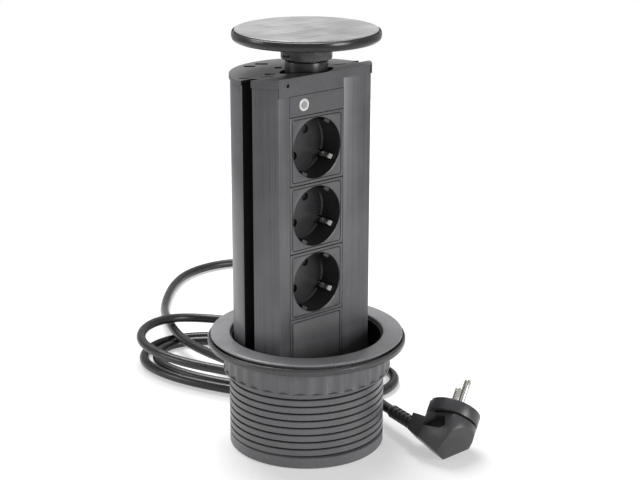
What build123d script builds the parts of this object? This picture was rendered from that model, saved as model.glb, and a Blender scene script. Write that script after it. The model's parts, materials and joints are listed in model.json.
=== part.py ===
"""Pop up desk socket: a pull up tower of three earthed sockets in a threaded desk sleeve.

Millimetres, +Z up. The origin is the centre of the sleeve's bottom edge, and the tower's front
faces -Y. The tower is pulled up and its sprung cap is raised.
"""
from math import cos, pi, radians, sin, sqrt, tan
import os
from build123d import *

os.makedirs("parts", exist_ok=True)

# Clearances and cutting
running_gap = 0.3      # between pieces that slide or turn on each other
seat_gap = 0.1         # between pieces that are pushed together
overrun = 2.0          # how far a cutting shape runs past the face that it cuts
least_spread = 1e-6    # two headings closer than this count as one

# Desk sleeve and flange
sleeve_radius = 52.0
sleeve_wall = 2.0
sleeve_height = 75.0
sleeve_bore = sleeve_radius - sleeve_wall
flange_reach = 14.3    # of the flange beyond the sleeve
flange_below = 5.0     # of the flange below the sleeve's top edge
flange_above = 3.0
flange_lip = 0.9       # of the flange over the sleeve's wall
flange_radius = sleeve_radius + flange_reach
flange_low = sleeve_height - flange_below
flange_high = sleeve_height + flange_above
flange_hole = sleeve_radius - flange_lip
flange_bevel = 3.0
flange_edge_round = 1.2

# Lock nut and clamp washer
nut_height = 16.5
nut_below = 1.5        # of the nut's top below the flange
nut_wall = 3.8
nut_high = flange_low - nut_below
nut_low = nut_high - nut_height
nut_radius = sleeve_radius + nut_wall
nut_flutes = 32
flute_radius = 2.6
flute_depth = 0.8
nut_foot = 1.6
washer_thickness = 1.0
washer_width = 3.0
washer_radius = sleeve_radius + washer_width

# Tower profile
tower_clearance = 1.2  # between the tower and the sleeve's bore
corner_drop = 10.3     # of the front's corner inside the tower's radius
tower_radius = sleeve_bore - tower_clearance
tower_front = 18.6
tower_half_front = tower_radius - corner_drop
tower_wall = 2.0
strip_bow = 0.8
groove_width = 10.0
groove_depth = 8.0
profile_low = 17.0
profile_high = 250.2
screw_boss = 3.2
screw_hole = 1.6
screw_boss_inset = 1.6
rail_depth = 7.0
rail_thickness = 1.8
back_boss_turn = 57.9

# End caps
cap_lip = 0.8
end_cap_front_top = 255.7
end_cap_back_top = 252.6
apron_low = 244.0
apron_screw_hole = 1.25
apron_screw_inset = 7.1
foot_low = 3.0
foot_floor = 2.5
foot_wall = 2.8
spigot_depth = 4.0
slot_width = 2.0
slot_depth = 1.5
slot_turn = -41.0
# Across, along and length of each vent slot
slots = (
    (-4.0, 40.6, 9.2), (-31.2, 1.6, 9.5), (29.2, 2.2, 10.4), (-14.8, 39.7, 7.9),
    (-3.8, 23.9, 4.6), (-41.0, 11.9, 7.6), (-21.0, 11.2, 7.1),
)

# Socket column
module_pitch = 45.0
module_size = 44.8
module_centre = -7.2
lowest_socket = 118.1
socket_count = 3
plate_thickness = 2.2
plate_corner = 1.2
frame_inset = 1.5
frame_line = 0.5
well_radius = 19.75
well_depth = 17.5
well_wall = 1.5
well_floor = 1.6
rim_chamfer = 0.8
pin_hole = 2.8
pin_pitch = 19.0
pin_line_turn = 30.0
rib_width = 4.5
rib_height = 1.8
body_half = 20.0
body_depth = 23.5
post_size = 3.0
shutter_radius = 16.6
shutter_thickness = 1.6
shutter_swing = 45.0
contact_radius = 3.0
contact_bore = 2.35
contact_length = 14.0
contact_tail = 1.2
contact_floor = 2.0
clip_thickness = 0.8
clip_width = 5.0
clip_arm_inset = 1.1
clip_bump = 1.5
clip_reach = 13.0
busbar_width = 4.0
busbar_thickness = 1.0
busbar_over = 8.0
earth_busbar_offset = -15.0

# Indicator module
lens_radius = 4.0
lens_thickness = 1.0
lens_across = -17.6
lens_height = 237.4
indicator_thickness = 2.4

# Neck, spring and cap
collar_radius = 16.5
collar_low = 267.0
plunger_radius = 14.0
plunger_low = 249.0
plunger_bore = 11.0
plunger_flats = 8
plunger_flat_depth = 0.5
recess_radius = 17.25
recess_floor = 249.5
guide_wall = 1.2
guide_low = 229.5
guide_flange_radius = 19.0
guide_flange_depth = 1.9
guide_floor = 1.5
post_radius = 10.7
post_bore = 9.0
post_top = 255.0
spring_radius = 7.2
spring_wire = 1.2
spring_turns = 6
cap_inset = 1.0        # of the cap inside the tower
cap_radius = tower_radius - cap_inset
cap_low = 274.0
cap_high = 281.0
cap_rim_width = 1.2
cap_inlay_radius = cap_radius - cap_rim_width
cap_inlay_thickness = 1.2
cap_rim_round = 2.4
cap_plate_round = 0.3
cap_wall = 2.4
window_width = 8.0
window_height = 4.0
window_head = 1.2
window_turn = 139.0

# Guide keys in the sleeve
key_below = 11.0       # of the key's top below the sleeve's top edge
key_high = sleeve_height - key_below
key_clear_foot = 0.3

# Cord gland and notch
cord_diameter = 7.0
exit_height = 11.0
exit_angle = 74.45
gland_root = 40.0
gland_tip = 60.0
gland_root_radius = 5.2
gland_tip_radius = 4.3
gland_straight = 9.0
notch_width = 15.0
notch_height = 17.0

# Plug
plug_origin = (63.4, -78.9, 28.0)
plug_pin_way = (0.6875, 0.2839, 0.6684)
plug_cable_way = (-0.2533, 0.9564, -0.1456)
plug_pin_turn = 45.0   # of the line through the pins from the plug's side axis
plug_radius = 17.6
plug_ring = 8.5
plug_groove = 1.6
plug_groove_depth = 1.8
plug_depth = 35.0
plug_heel_depth = 14.0
plug_neck_reach = 27.0
plug_neck_depth = 14.5
plug_taper_depth = 20.0
plug_neck_radius = 6.2
plug_pin_radius = 2.4
plug_pin_length = 19.0
plug_half_width = 14.5
plug_back_half_width = 5.5
plug_seam_depth = 26.0
plug_seam = 0.8
grip_depth = 3.0
# Corners of the grip's hollow, along the cable and below the face
grip_corners = ((13.0, -20.0), (3.5, -11.6), (-3.0, -12.0), (-5.5, -19.0), (-1.0, -21.0))
relief_length = 30.0
relief_seat = 5.0      # how deep the relief sits in the neck
relief_straight = 14.0 # of the cord's straight run into the strain relief
plug_relief_way = (0.22, 0.975, -0.04)
relief_ribs = 6
relief_radius = 4.6
relief_rib_depth = 0.9

profile_height = profile_high - profile_low
channel_left = module_centre - module_pitch / 2
channel_right = module_centre + module_pitch / 2
socket_heights = [lowest_socket + module_pitch * step for step in range(socket_count)]
well_floor_front = -tower_front + well_depth
well_floor_back = well_floor_front + well_floor
pin_way = (sin(radians(pin_line_turn)), cos(radians(pin_line_turn)))
clip_way = (pin_way[1], -pin_way[0])
clip_radius = well_radius - clip_arm_inset
exit_way = Vector(cos(radians(exit_angle)), sin(radians(exit_angle)), 0)


def write(piece, name):
    """Label a finished piece and write its STEP file."""
    piece.label = name
    export_step(piece, f"parts/{name}.step")


def tower_outline(grow, groove_grow=None):
    """The tower's plan: a circle with a flat front, two side strips and, if asked, its grooves."""
    radius = tower_radius + grow
    strip_end = sqrt(radius ** 2 - (groove_width / 2) ** 2)
    half_front = tower_half_front + grow / 2
    front_line = -tower_front - grow
    with BuildSketch() as outline:
        with BuildLine():
            front = Line((-half_front, front_line), (half_front, front_line))
            SagittaArc(front @ 1, (strip_end, -groove_width / 2), -strip_bow)
            ThreePointArc((strip_end, -groove_width / 2), (0, radius), (-strip_end, -groove_width / 2))
            SagittaArc((-strip_end, -groove_width / 2), front @ 0, -strip_bow)
        make_face()
        if groove_grow is not None:
            floor = tower_radius - groove_depth - groove_grow
            reach = radius + overrun - floor
            for side in (-1, 1):
                with Locations((side * (floor + reach / 2), 0)):
                    Rectangle(reach, groove_width + 2 * groove_grow, mode=Mode.SUBTRACT)
    return outline.sketch


def boss_places():
    """Plan places of the profile's four screw bosses."""
    back_reach = tower_radius - tower_wall - screw_boss_inset
    span = back_reach * cos(radians(back_boss_turn))
    back = back_reach * sin(radians(back_boss_turn))
    front = -tower_front + tower_wall + screw_boss_inset
    left = (channel_left - tower_half_front) / 2
    right = (channel_right + tower_half_front) / 2
    return [(-span, back), (span, back), (left, front), (right, front)]


# Threaded sleeve, with the cord notch at the back of its lower edge
notch_plane = Plane(origin=(0, 0, 0), x_dir=(0, 0, 1), z_dir=exit_way)
with BuildPart() as threaded_sleeve:
    with BuildSketch():
        Circle(sleeve_radius)
        Circle(sleeve_bore, mode=Mode.SUBTRACT)
    extrude(amount=sleeve_height)
    with BuildSketch(notch_plane):
        Rectangle(2 * notch_height, notch_width)
    extrude(amount=sleeve_radius + overrun, mode=Mode.SUBTRACT)
write(threaded_sleeve.part, "threaded_sleeve")

# Mounting flange, its lip over the sleeve's top edge
with BuildPart() as mounting_flange:
    with BuildSketch(Plane.XZ):
        with BuildLine():
            Polyline(
                (sleeve_radius, flange_low),
                (flange_radius, flange_low),
                (flange_radius, flange_high - flange_bevel),
                (flange_radius - flange_bevel, flange_high),
                (flange_hole, flange_high),
                (flange_hole, sleeve_height),
                (sleeve_radius, sleeve_height),
                close=True,
            )
        make_face()
    revolve(axis=Axis.Z)
    outer_edges = mounting_flange.edges().filter_by(GeomType.CIRCLE).filter_by(
        lambda edge: edge.radius > flange_radius - flange_bevel - flange_edge_round)
    fillet(outer_edges, flange_edge_round)
write(mounting_flange.part, "mounting_flange")

# Guide keys on the sleeve's bore, which run in the tower's side grooves
key_low = profile_low + key_clear_foot
key_depth = groove_depth - running_gap
for side, name in ((-1, "guide_key_left"), (1, "guide_key_right")):
    with BuildPart() as guide_key:
        with BuildSketch(Plane.XY.offset(key_low)):
            Circle(sleeve_bore)
            with Locations((side * (tower_radius - groove_depth + running_gap + sleeve_radius), 0)):
                Rectangle(2 * sleeve_radius, groove_width - 2 * running_gap, mode=Mode.INTERSECT)
        extrude(amount=key_high - key_low)
        vertical = guide_key.edges().filter_by(Axis.Z).group_by(Axis.X)[0 if side > 0 else -1]
        fillet(vertical, running_gap)
    write(guide_key.part, name)

# Fluted lock nut
nut_bore = sleeve_radius + running_gap
with BuildPart() as lock_nut:
    with BuildSketch(Plane.XY.offset(nut_low)):
        Circle(nut_radius)
        with PolarLocations(nut_radius + flute_radius - flute_depth, nut_flutes):
            Circle(flute_radius, mode=Mode.SUBTRACT)
        Circle(nut_bore, mode=Mode.SUBTRACT)
    extrude(amount=nut_high - nut_low)
    with BuildSketch(Plane.XY.offset(nut_low)):
        Circle(nut_radius)
        Circle(nut_bore, mode=Mode.SUBTRACT)
    extrude(amount=nut_foot)
write(lock_nut.part, "lock_nut")

# Clamp washer between the nut and the desk
washer_low = flange_low - running_gap - washer_thickness
with BuildPart() as clamp_washer:
    with BuildSketch(Plane.XY.offset(washer_low)):
        Circle(washer_radius)
        Circle(nut_bore, mode=Mode.SUBTRACT)
    extrude(amount=washer_thickness)
write(clamp_washer.part, "clamp_washer")

# Extruded tower profile: an open fronted shell with module rails, side grooves and screw bosses
with BuildPart() as tower_profile:
    with BuildSketch(Plane.XY.offset(profile_low)):
        add(tower_outline(0, 0))
        add(tower_outline(-tower_wall, tower_wall), mode=Mode.SUBTRACT)
        for edge, way in ((channel_left, -1), (channel_right, 1)):
            with Locations((edge + way * rail_thickness / 2, -tower_front + rail_depth / 2)):
                Rectangle(rail_thickness, rail_depth)
        with Locations(*boss_places()):
            Circle(screw_boss)
        with Locations(*boss_places()):
            Circle(screw_hole, mode=Mode.SUBTRACT)
        with Locations((module_centre, -tower_front + tower_wall / 2)):
            Rectangle(module_pitch, tower_wall + overrun, mode=Mode.SUBTRACT)
    extrude(amount=profile_height)
    with BuildSketch(Plane.XY.offset(apron_low)):
        with Locations(((channel_left - tower_half_front) / 2, -tower_front)):
            Rectangle(channel_left + tower_half_front + running_gap, 2 * tower_wall)
    extrude(amount=profile_height, mode=Mode.SUBTRACT)
write(tower_profile.part, "tower_profile")

# Top end cap: a lipped plate with a higher front, an apron over the module column and the neck recess
apron_left = -tower_half_front + seat_gap
with BuildPart() as top_end_cap:
    with BuildSketch(Plane.XY.offset(profile_high)):
        add(tower_outline(cap_lip))
        with Locations((0, -tower_front - cap_lip)):
            Rectangle(2 * tower_half_front, 2 * cap_lip, mode=Mode.SUBTRACT)
    extrude(amount=end_cap_front_top - profile_high)
    with BuildSketch(Plane.XY.offset(apron_low + seat_gap)):
        with Locations(((apron_left + channel_right) / 2, -tower_front + (tower_wall - seat_gap) / 2)):
            Rectangle(channel_right - apron_left - 2 * seat_gap, tower_wall - seat_gap)
    extrude(amount=profile_high - apron_low - seat_gap)
    with BuildSketch(Plane.YZ):
        with BuildLine():
            Polyline(
                (-groove_width, end_cap_front_top),
                (groove_width, end_cap_back_top),
                (tower_radius + overrun, end_cap_back_top),
                (tower_radius + overrun, end_cap_front_top + overrun),
                (-groove_width, end_cap_front_top + overrun),
                close=True,
            )
        make_face()
    extrude(amount=tower_radius + overrun, both=True, mode=Mode.SUBTRACT)
    with BuildSketch(Plane.XY.offset(recess_floor)):
        Circle(recess_radius)
    extrude(amount=end_cap_front_top - recess_floor + overrun, mode=Mode.SUBTRACT)
    with Locations(Plane.XZ.offset(tower_front)):
        with Locations((channel_left - apron_screw_hole, apron_low + apron_screw_inset)):
            Hole(apron_screw_hole, depth=tower_wall)
    for across, along, length in slots:
        with BuildSketch(Plane.XY.offset(end_cap_back_top - slot_depth)):
            with Locations(Location((across, along, 0), (0, 0, slot_turn))):
                SlotOverall(length, slot_width)
        extrude(amount=end_cap_front_top, mode=Mode.SUBTRACT)
write(top_end_cap.part, "top_end_cap")

# Neck guide below the recess: a bored cup with a hollow post that the plunger slides over
with BuildPart() as neck_guide:
    with BuildSketch(Plane.XY.offset(guide_low)):
        Circle(plunger_radius + running_gap + guide_wall)
    extrude(amount=recess_floor - guide_low)
    with BuildSketch(Plane.XY.offset(profile_high - guide_flange_depth)):
        Circle(guide_flange_radius)
        with Locations((0, -tower_front + tower_wall + seat_gap + guide_flange_radius)):
            Rectangle(2 * guide_flange_radius, 2 * guide_flange_radius, mode=Mode.INTERSECT)
    extrude(amount=guide_flange_depth)
    with BuildSketch(Plane.XY.offset(recess_floor)):
        Circle(recess_radius)
    extrude(amount=guide_flange_depth, mode=Mode.SUBTRACT)
    with BuildSketch(Plane.XY.offset(guide_low + guide_floor)):
        Circle(plunger_radius + running_gap)
    extrude(amount=recess_floor - guide_low, mode=Mode.SUBTRACT)
    with BuildSketch(Plane.XY.offset(guide_low + guide_floor)):
        Circle(post_radius)
        Circle(post_bore, mode=Mode.SUBTRACT)
    extrude(amount=post_top - guide_low - guide_floor)
write(neck_guide.part, "neck_guide")

# Plunger and collar of the neck
with BuildPart() as neck_plunger:
    with BuildSketch(Plane.XY.offset(plunger_low)):
        RegularPolygon(plunger_radius, plunger_flats)
        Circle(plunger_radius - plunger_flat_depth, mode=Mode.ADD)
        Circle(plunger_radius, mode=Mode.INTERSECT)
        Circle(plunger_bore, mode=Mode.SUBTRACT)
    extrude(amount=collar_low - plunger_low)
write(neck_plunger.part, "neck_plunger")

with BuildPart() as neck_collar:
    with BuildSketch(Plane.XY.offset(collar_low)):
        Circle(collar_radius)
        Circle(plunger_bore, mode=Mode.SUBTRACT)
    extrude(amount=cap_low - collar_low)
    with BuildSketch(Plane.XY.offset(cap_low - window_height)):
        with PolarLocations(collar_radius, 1, start_angle=window_turn):
            Rectangle(window_width, 2 * collar_radius)
    extrude(amount=window_height - window_head, mode=Mode.SUBTRACT)
write(neck_collar.part, "neck_collar")

# Cap shell with its rounded rim, and the plate let into its top
with BuildPart() as cap_shell:
    with BuildSketch(Plane.XY.offset(cap_low)):
        Circle(cap_radius)
    extrude(amount=cap_high - cap_low)
    fillet(cap_shell.faces().sort_by(Axis.Z)[0].edges(), cap_rim_round)
    with BuildSketch(Plane.XY.offset(cap_high - cap_inlay_thickness)):
        Circle(cap_inlay_radius + seat_gap)
    extrude(amount=cap_inlay_thickness + overrun, mode=Mode.SUBTRACT)
    with BuildSketch(Plane.XY.offset(cap_low)):
        Circle(cap_radius - 2 * cap_wall)
        Circle(collar_radius + cap_wall, mode=Mode.SUBTRACT)
        with PolarLocations(0, plunger_flats):
            Rectangle(2 * cap_radius, cap_wall / 2, mode=Mode.SUBTRACT)
    extrude(amount=cap_high - cap_low - cap_inlay_thickness - cap_wall, mode=Mode.SUBTRACT)
write(cap_shell.part, "cap_shell")

with BuildPart() as cap_plate:
    with BuildSketch(Plane.XY.offset(cap_high - cap_inlay_thickness)):
        Circle(cap_inlay_radius)
    extrude(amount=cap_inlay_thickness)
    fillet(cap_plate.faces().sort_by(Axis.Z)[-1].edges(), cap_plate_round)
write(cap_plate.part, "cap_plate")


def biarc(start, start_way, end, end_way):
    """Two arcs that leave start along start_way and reach end along end_way."""
    step = end - start
    ways = start_way + end_way
    spread = 2 * (1 - start_way.dot(end_way))
    along = step.dot(ways)
    if spread < least_spread:
        reach = step.dot(step) / (2 * along)
    else:
        reach = (sqrt(along ** 2 + spread * step.dot(step)) - along) / spread
    middle = (start + end + (start_way - end_way) * reach) * 0.5
    first = TangentArc(start, middle, tangent=start_way)
    TangentArc(middle, end, tangent=first % 1)


# Cap spring in the guide post, one unbroken wire
spring_low = guide_low + guide_floor + spring_wire
spring_high = cap_low - spring_wire
spring_rise = (spring_high - spring_low) / (2 * spring_turns)
spring_stops = []
for half in range(2 * spring_turns + 1):
    turn = pi * half
    place = Vector(spring_radius * cos(turn), spring_radius * sin(turn),
                   spring_low + spring_rise * half)
    heading = Vector(-sin(turn), cos(turn), spring_rise / (pi * spring_radius)).normalized()
    spring_stops.append((place, heading))
with BuildPart() as cap_spring:
    with BuildLine() as spring_path:
        for (place, heading), (next_place, next_heading) in zip(spring_stops, spring_stops[1:]):
            biarc(place, heading, next_place, next_heading)
    with BuildSketch(Plane(origin=spring_stops[0][0], z_dir=spring_stops[0][1])):
        Circle(spring_wire / 2)
    sweep(path=spring_path.wires()[0])
write(cap_spring.part, "cap_spring")

# Indicator module and its lens
indicator_low = socket_heights[-1] + module_pitch / 2 + seat_gap
with BuildPart() as indicator_module:
    with BuildSketch(Plane.XZ.offset(tower_front - indicator_thickness)):
        with Locations((module_centre, (indicator_low + apron_low) / 2 - seat_gap)):
            Rectangle(module_size, apron_low - indicator_low - 2 * seat_gap)
    extrude(amount=indicator_thickness)
    with BuildSketch(Plane.XZ.offset(tower_front - lens_thickness)):
        with Locations((lens_across, lens_height)):
            Circle(lens_radius + seat_gap)
    extrude(amount=lens_thickness + overrun, mode=Mode.SUBTRACT)
write(indicator_module.part, "indicator_module")

with BuildPart() as indicator_lens:
    with BuildSketch(Plane.XZ.offset(tower_front - lens_thickness)):
        with Locations((lens_across, lens_height)):
            Circle(lens_radius)
    extrude(amount=lens_thickness)
write(indicator_lens.part, "indicator_lens")

# Socket modules
clip_turn = -pin_line_turn
for number, height in enumerate(socket_heights, start=1):
    face_plane = Plane(origin=(module_centre, -tower_front, height), x_dir=(1, 0, 0), z_dir=(0, -1, 0))
    floor_plane = face_plane.offset(-well_depth)
    back_plane = face_plane.offset(-well_depth - well_floor)
    pins = [(side * pin_pitch / 2 * pin_way[0], side * pin_pitch / 2 * pin_way[1]) for side in (-1, 1)]
    clips = [(side * clip_radius * clip_way[0], side * clip_radius * clip_way[1]) for side in (-1, 1)]

    with BuildPart() as socket_face:
        with BuildSketch(face_plane):
            RectangleRounded(module_size, module_size, plate_corner)
        extrude(amount=-plate_thickness)
        with BuildSketch(face_plane):
            Circle(well_radius + well_wall)
        extrude(amount=-well_depth - well_floor)
        with BuildSketch(face_plane):
            Circle(well_radius)
        extrude(amount=-well_depth, mode=Mode.SUBTRACT)
        rim = socket_face.edges().filter_by(GeomType.CIRCLE).group_by(Axis.Y)[0]
        chamfer(rim, rim_chamfer)
        with BuildSketch(floor_plane):
            for side in (-1, 1):
                place = side * (well_radius - rib_height / 2)
                spot = (place * pin_way[0], place * pin_way[1], 0)
                with Locations(Location(spot, (0, 0, 90 - pin_line_turn))):
                    Rectangle(rib_height + well_wall, rib_width)
        extrude(amount=well_depth - 2 * rim_chamfer)
        with BuildSketch(face_plane):
            RectangleRounded(module_size - 2 * frame_inset, module_size - 2 * frame_inset, plate_corner)
            inner = module_size - 2 * frame_inset - 2 * frame_line
            RectangleRounded(inner, inner, plate_corner, mode=Mode.SUBTRACT)
        extrude(amount=-frame_line, mode=Mode.SUBTRACT)
        with BuildSketch(floor_plane):
            with Locations(*pins):
                Circle(pin_hole)
            for place in clips:
                with Locations(Location((place[0], place[1], 0), (0, 0, clip_turn))):
                    Rectangle(clip_thickness + 2 * running_gap, clip_width + 2 * running_gap)
        extrude(amount=-well_floor - overrun, mode=Mode.SUBTRACT)
    write(socket_face.part, f"socket_face_{number}")

    pocket_depth = shutter_thickness + 2 * running_gap
    groove_floor = pocket_depth + clip_thickness + running_gap
    with BuildPart() as socket_body:
        with BuildSketch(back_plane):
            Rectangle(2 * body_half, 2 * body_half)
        extrude(amount=-body_depth)
        with BuildSketch(back_plane):
            with GridLocations(2 * body_half - post_size, 2 * body_half - post_size, 2, 2):
                Rectangle(post_size, post_size)
        extrude(amount=well_depth + well_floor - plate_thickness)
        with BuildSketch(back_plane):
            Circle(shutter_radius + running_gap)
        extrude(amount=-pocket_depth, mode=Mode.SUBTRACT)
        with BuildSketch(back_plane):
            with Locations(Location((0, 0, 0), (0, 0, clip_turn))):
                Rectangle(2 * clip_radius + clip_thickness + 2 * running_gap, clip_width + 2 * running_gap)
        extrude(amount=-groove_floor, mode=Mode.SUBTRACT)
        with BuildSketch(back_plane.offset(-pocket_depth)):
            with Locations(*pins):
                Circle(contact_radius + seat_gap)
        extrude(amount=-contact_length - 2 * running_gap, mode=Mode.SUBTRACT)
        with BuildSketch(back_plane):
            with Locations(*pins):
                Circle(contact_tail + seat_gap)
        extrude(amount=-body_depth - overrun, mode=Mode.SUBTRACT)
    write(socket_body.part, f"socket_body_{number}")

    with BuildPart() as shutter:
        with BuildSketch(back_plane.offset(-running_gap)):
            Circle(shutter_radius)
            with PolarLocations(pin_pitch / 2, 2, start_angle=90 - pin_line_turn - shutter_swing):
                Circle(pin_hole, mode=Mode.SUBTRACT)
        extrude(amount=-shutter_thickness)
    write(shutter.part, f"shutter_{number}")

    contact_front = back_plane.offset(-pocket_depth - running_gap)
    with BuildPart() as pin_contacts:
        with BuildSketch(contact_front):
            with Locations(*pins):
                Circle(contact_radius)
        extrude(amount=-contact_length)
        with BuildSketch(contact_front):
            with Locations(*pins):
                Circle(contact_bore, mode=Mode.ADD)
        extrude(amount=-contact_length + contact_floor, mode=Mode.SUBTRACT)
        with BuildSketch(back_plane.offset(-body_depth)):
            with Locations(*pins):
                Circle(contact_tail)
        extrude(amount=body_depth - pocket_depth - contact_length)
    write(pin_contacts.part, f"pin_contacts_{number}")

    with BuildPart() as earth_clip:
        with BuildSketch(back_plane.offset(-pocket_depth - running_gap)):
            with Locations(Location((0, 0, 0), (0, 0, clip_turn))):
                Rectangle(2 * clip_radius + clip_thickness, clip_width)
        extrude(amount=-clip_thickness)
        for place in clips:
            with BuildSketch(back_plane.offset(-pocket_depth - running_gap - clip_thickness)):
                with Locations(Location((place[0], place[1], 0), (0, 0, clip_turn))):
                    Rectangle(clip_thickness, clip_width)
            extrude(amount=pocket_depth + running_gap + clip_thickness + well_floor + clip_reach)
        for side in (-1, 1):
            inward = side * (clip_radius - clip_bump / 2)
            with BuildSketch(floor_plane.offset(clip_reach / 2)):
                with Locations(Location((inward * clip_way[0], inward * clip_way[1], 0), (0, 0, clip_turn))):
                    Rectangle(clip_bump, clip_width)
            extrude(amount=clip_reach / 2)
    write(earth_clip.part, f"earth_clip_{number}")

# Bus bars behind the socket bodies
body_back = well_floor_back + body_depth
busbar_low = socket_heights[0] - busbar_over
busbar_high = socket_heights[-1] + busbar_over
pin_across = pin_pitch / 2 * pin_way[0]
busbars = (
    (pin_across, "live_busbar"), (-pin_across, "neutral_busbar"), (earth_busbar_offset, "earth_busbar"),
)
for across, name in busbars:
    with BuildPart() as busbar:
        with BuildSketch(Plane.XZ.offset(-body_back - busbar_thickness)):
            with Locations((module_centre + across, (busbar_low + busbar_high) / 2)):
                Rectangle(busbar_width, busbar_high - busbar_low)
        extrude(amount=busbar_thickness)
    write(busbar.part, name)

# Inner wires from the bus bars down to the cord clamp
wire_radius = 1.4
clamp_rise = 8.0
clamp_high = profile_low + clamp_rise
wire_places = [pin_across, -pin_across, earth_busbar_offset]
with BuildPart() as inner_wires:
    for across in wire_places:
        with BuildSketch(Plane.XY.offset(clamp_high)):
            with Locations((module_centre + across, body_back + busbar_thickness + wire_radius)):
                Circle(wire_radius)
        extrude(amount=busbar_low + busbar_over - clamp_high)
write(inner_wires.part, "inner_wires")

with BuildPart() as cord_clamp:
    clamp_width = pin_across - earth_busbar_offset + 4 * wire_radius
    clamp_middle = module_centre + (pin_across + earth_busbar_offset) / 2
    with BuildSketch(Plane.XY.offset(foot_low + foot_floor)):
        with Locations((clamp_middle, body_back + busbar_thickness + wire_radius)):
            Rectangle(clamp_width, 4 * wire_radius)
    extrude(amount=clamp_high - foot_low - foot_floor)
write(cord_clamp.part, "cord_clamp")

# Blank plate below the lowest socket
blank_high = socket_heights[0] - module_pitch / 2 - seat_gap
with BuildPart() as blank_plate:
    with BuildSketch(Plane.XZ.offset(tower_front - plate_thickness)):
        with Locations((module_centre, (profile_low + blank_high) / 2)):
            Rectangle(module_size, blank_high - profile_low)
    extrude(amount=plate_thickness)
    with BuildSketch(Plane.XZ.offset(tower_front)):
        with Locations((module_centre, (profile_low + blank_high) / 2)):
            wide = module_size - 2 * frame_inset
            high = blank_high - profile_low - 2 * frame_inset
            RectangleRounded(wide, high, plate_corner)
            RectangleRounded(wide - 2 * frame_line, high - 2 * frame_line, plate_corner, mode=Mode.SUBTRACT)
    extrude(amount=-frame_line, mode=Mode.SUBTRACT)
write(blank_plate.part, "blank_plate")

# Bottom end cap: a walled foot whose solid side lugs stop against the guide keys
gland_plane = Plane(origin=(0, 0, exit_height), x_dir=(0, 0, 1), z_dir=exit_way)
with BuildPart() as bottom_end_cap:
    with BuildSketch(Plane.XY.offset(foot_low)):
        add(tower_outline(cap_lip))
    extrude(amount=profile_low - foot_low)
    with BuildSketch(Plane.XY.offset(foot_low + foot_floor)):
        add(tower_outline(-foot_wall, foot_wall))
        with Locations(*boss_places()):
            Circle(screw_boss, mode=Mode.SUBTRACT)
    extrude(amount=profile_low, mode=Mode.SUBTRACT)
    with BuildSketch(Plane.XY.offset(foot_low)):
        with Locations(*boss_places()):
            Circle(screw_hole + seat_gap)
    extrude(amount=profile_low, mode=Mode.SUBTRACT)
    with BuildSketch(gland_plane.offset(gland_root)):
        Circle(gland_root_radius + seat_gap)
    extrude(amount=tower_radius, mode=Mode.SUBTRACT)
write(bottom_end_cap.part, "bottom_end_cap")

# Cord gland, a tapered sleeve that leaves through the notch
with BuildPart() as cord_gland:
    with BuildSketch(gland_plane.offset(gland_root)):
        Circle(gland_root_radius)
    with BuildSketch(gland_plane.offset(gland_tip)):
        Circle(gland_tip_radius)
    loft()
    with BuildSketch(gland_plane.offset(gland_root)):
        Circle(cord_diameter / 2)
    extrude(amount=(gland_tip - gland_root) / 2, mode=Mode.SUBTRACT)
write(cord_gland.part, "cord_gland")

# End cap screws
screw_length = 14.0
with BuildPart() as end_cap_screws:
    with BuildSketch(Plane.XY.offset(foot_low)):
        with Locations(*boss_places()):
            Circle(screw_hole - seat_gap / 2)
    extrude(amount=screw_length)
write(end_cap_screws.part, "end_cap_screws")

# Cord: a lead, a loose oval coil of two and a half turns, and a tail to the plug
def tube_radii(points):
    """Arc radius at each inner point of a route: 0.45 of the shorter run over the tangent of half the turn."""
    radii = []
    for before, here, after in zip(points, points[1:], points[2:]):
        first = here - before
        second = after - here
        turn = radians(first.get_angle(second))
        radii.append(0.45 * min(first.length, second.length) / tan(turn / 2))
    return radii


def cord_tube(points, name):
    """A round tube along straight runs joined by tangent arcs."""
    radii = tube_radii(points)
    with BuildPart() as tube:
        with BuildLine() as path:
            FilletPolyline(*points, radius=radii)
        with BuildSketch(Plane(origin=points[0], z_dir=points[1] - points[0])):
            Circle(cord_diameter / 2)
        sweep(path=path.wires()[0])
    length = path.wires()[0].length
    section = pi * cord_diameter ** 2 / 4
    print(name, "radii", [round(radius) for radius in radii], "length", round(length, 1),
          "volume ratio", round(tube.part.volume / (section * length), 4))
    write(tube.part, name)
    return path.wires()[0]


floor_height = cord_diameter / 2
coil_lead_in = 19.7
coil_lead_out = 10.0
gap_step = 3.0
joined_run = 6 * cord_diameter
coil_way = Vector(cos(radians(-61.5)), sin(radians(-61.5)), 0)
coil_across = Vector(-coil_way.Y, coil_way.X, 0)
ground_centre = Vector(56.2, 107.2, 0)
raised_centre = Vector(56.5, 112.2, 0)
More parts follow.
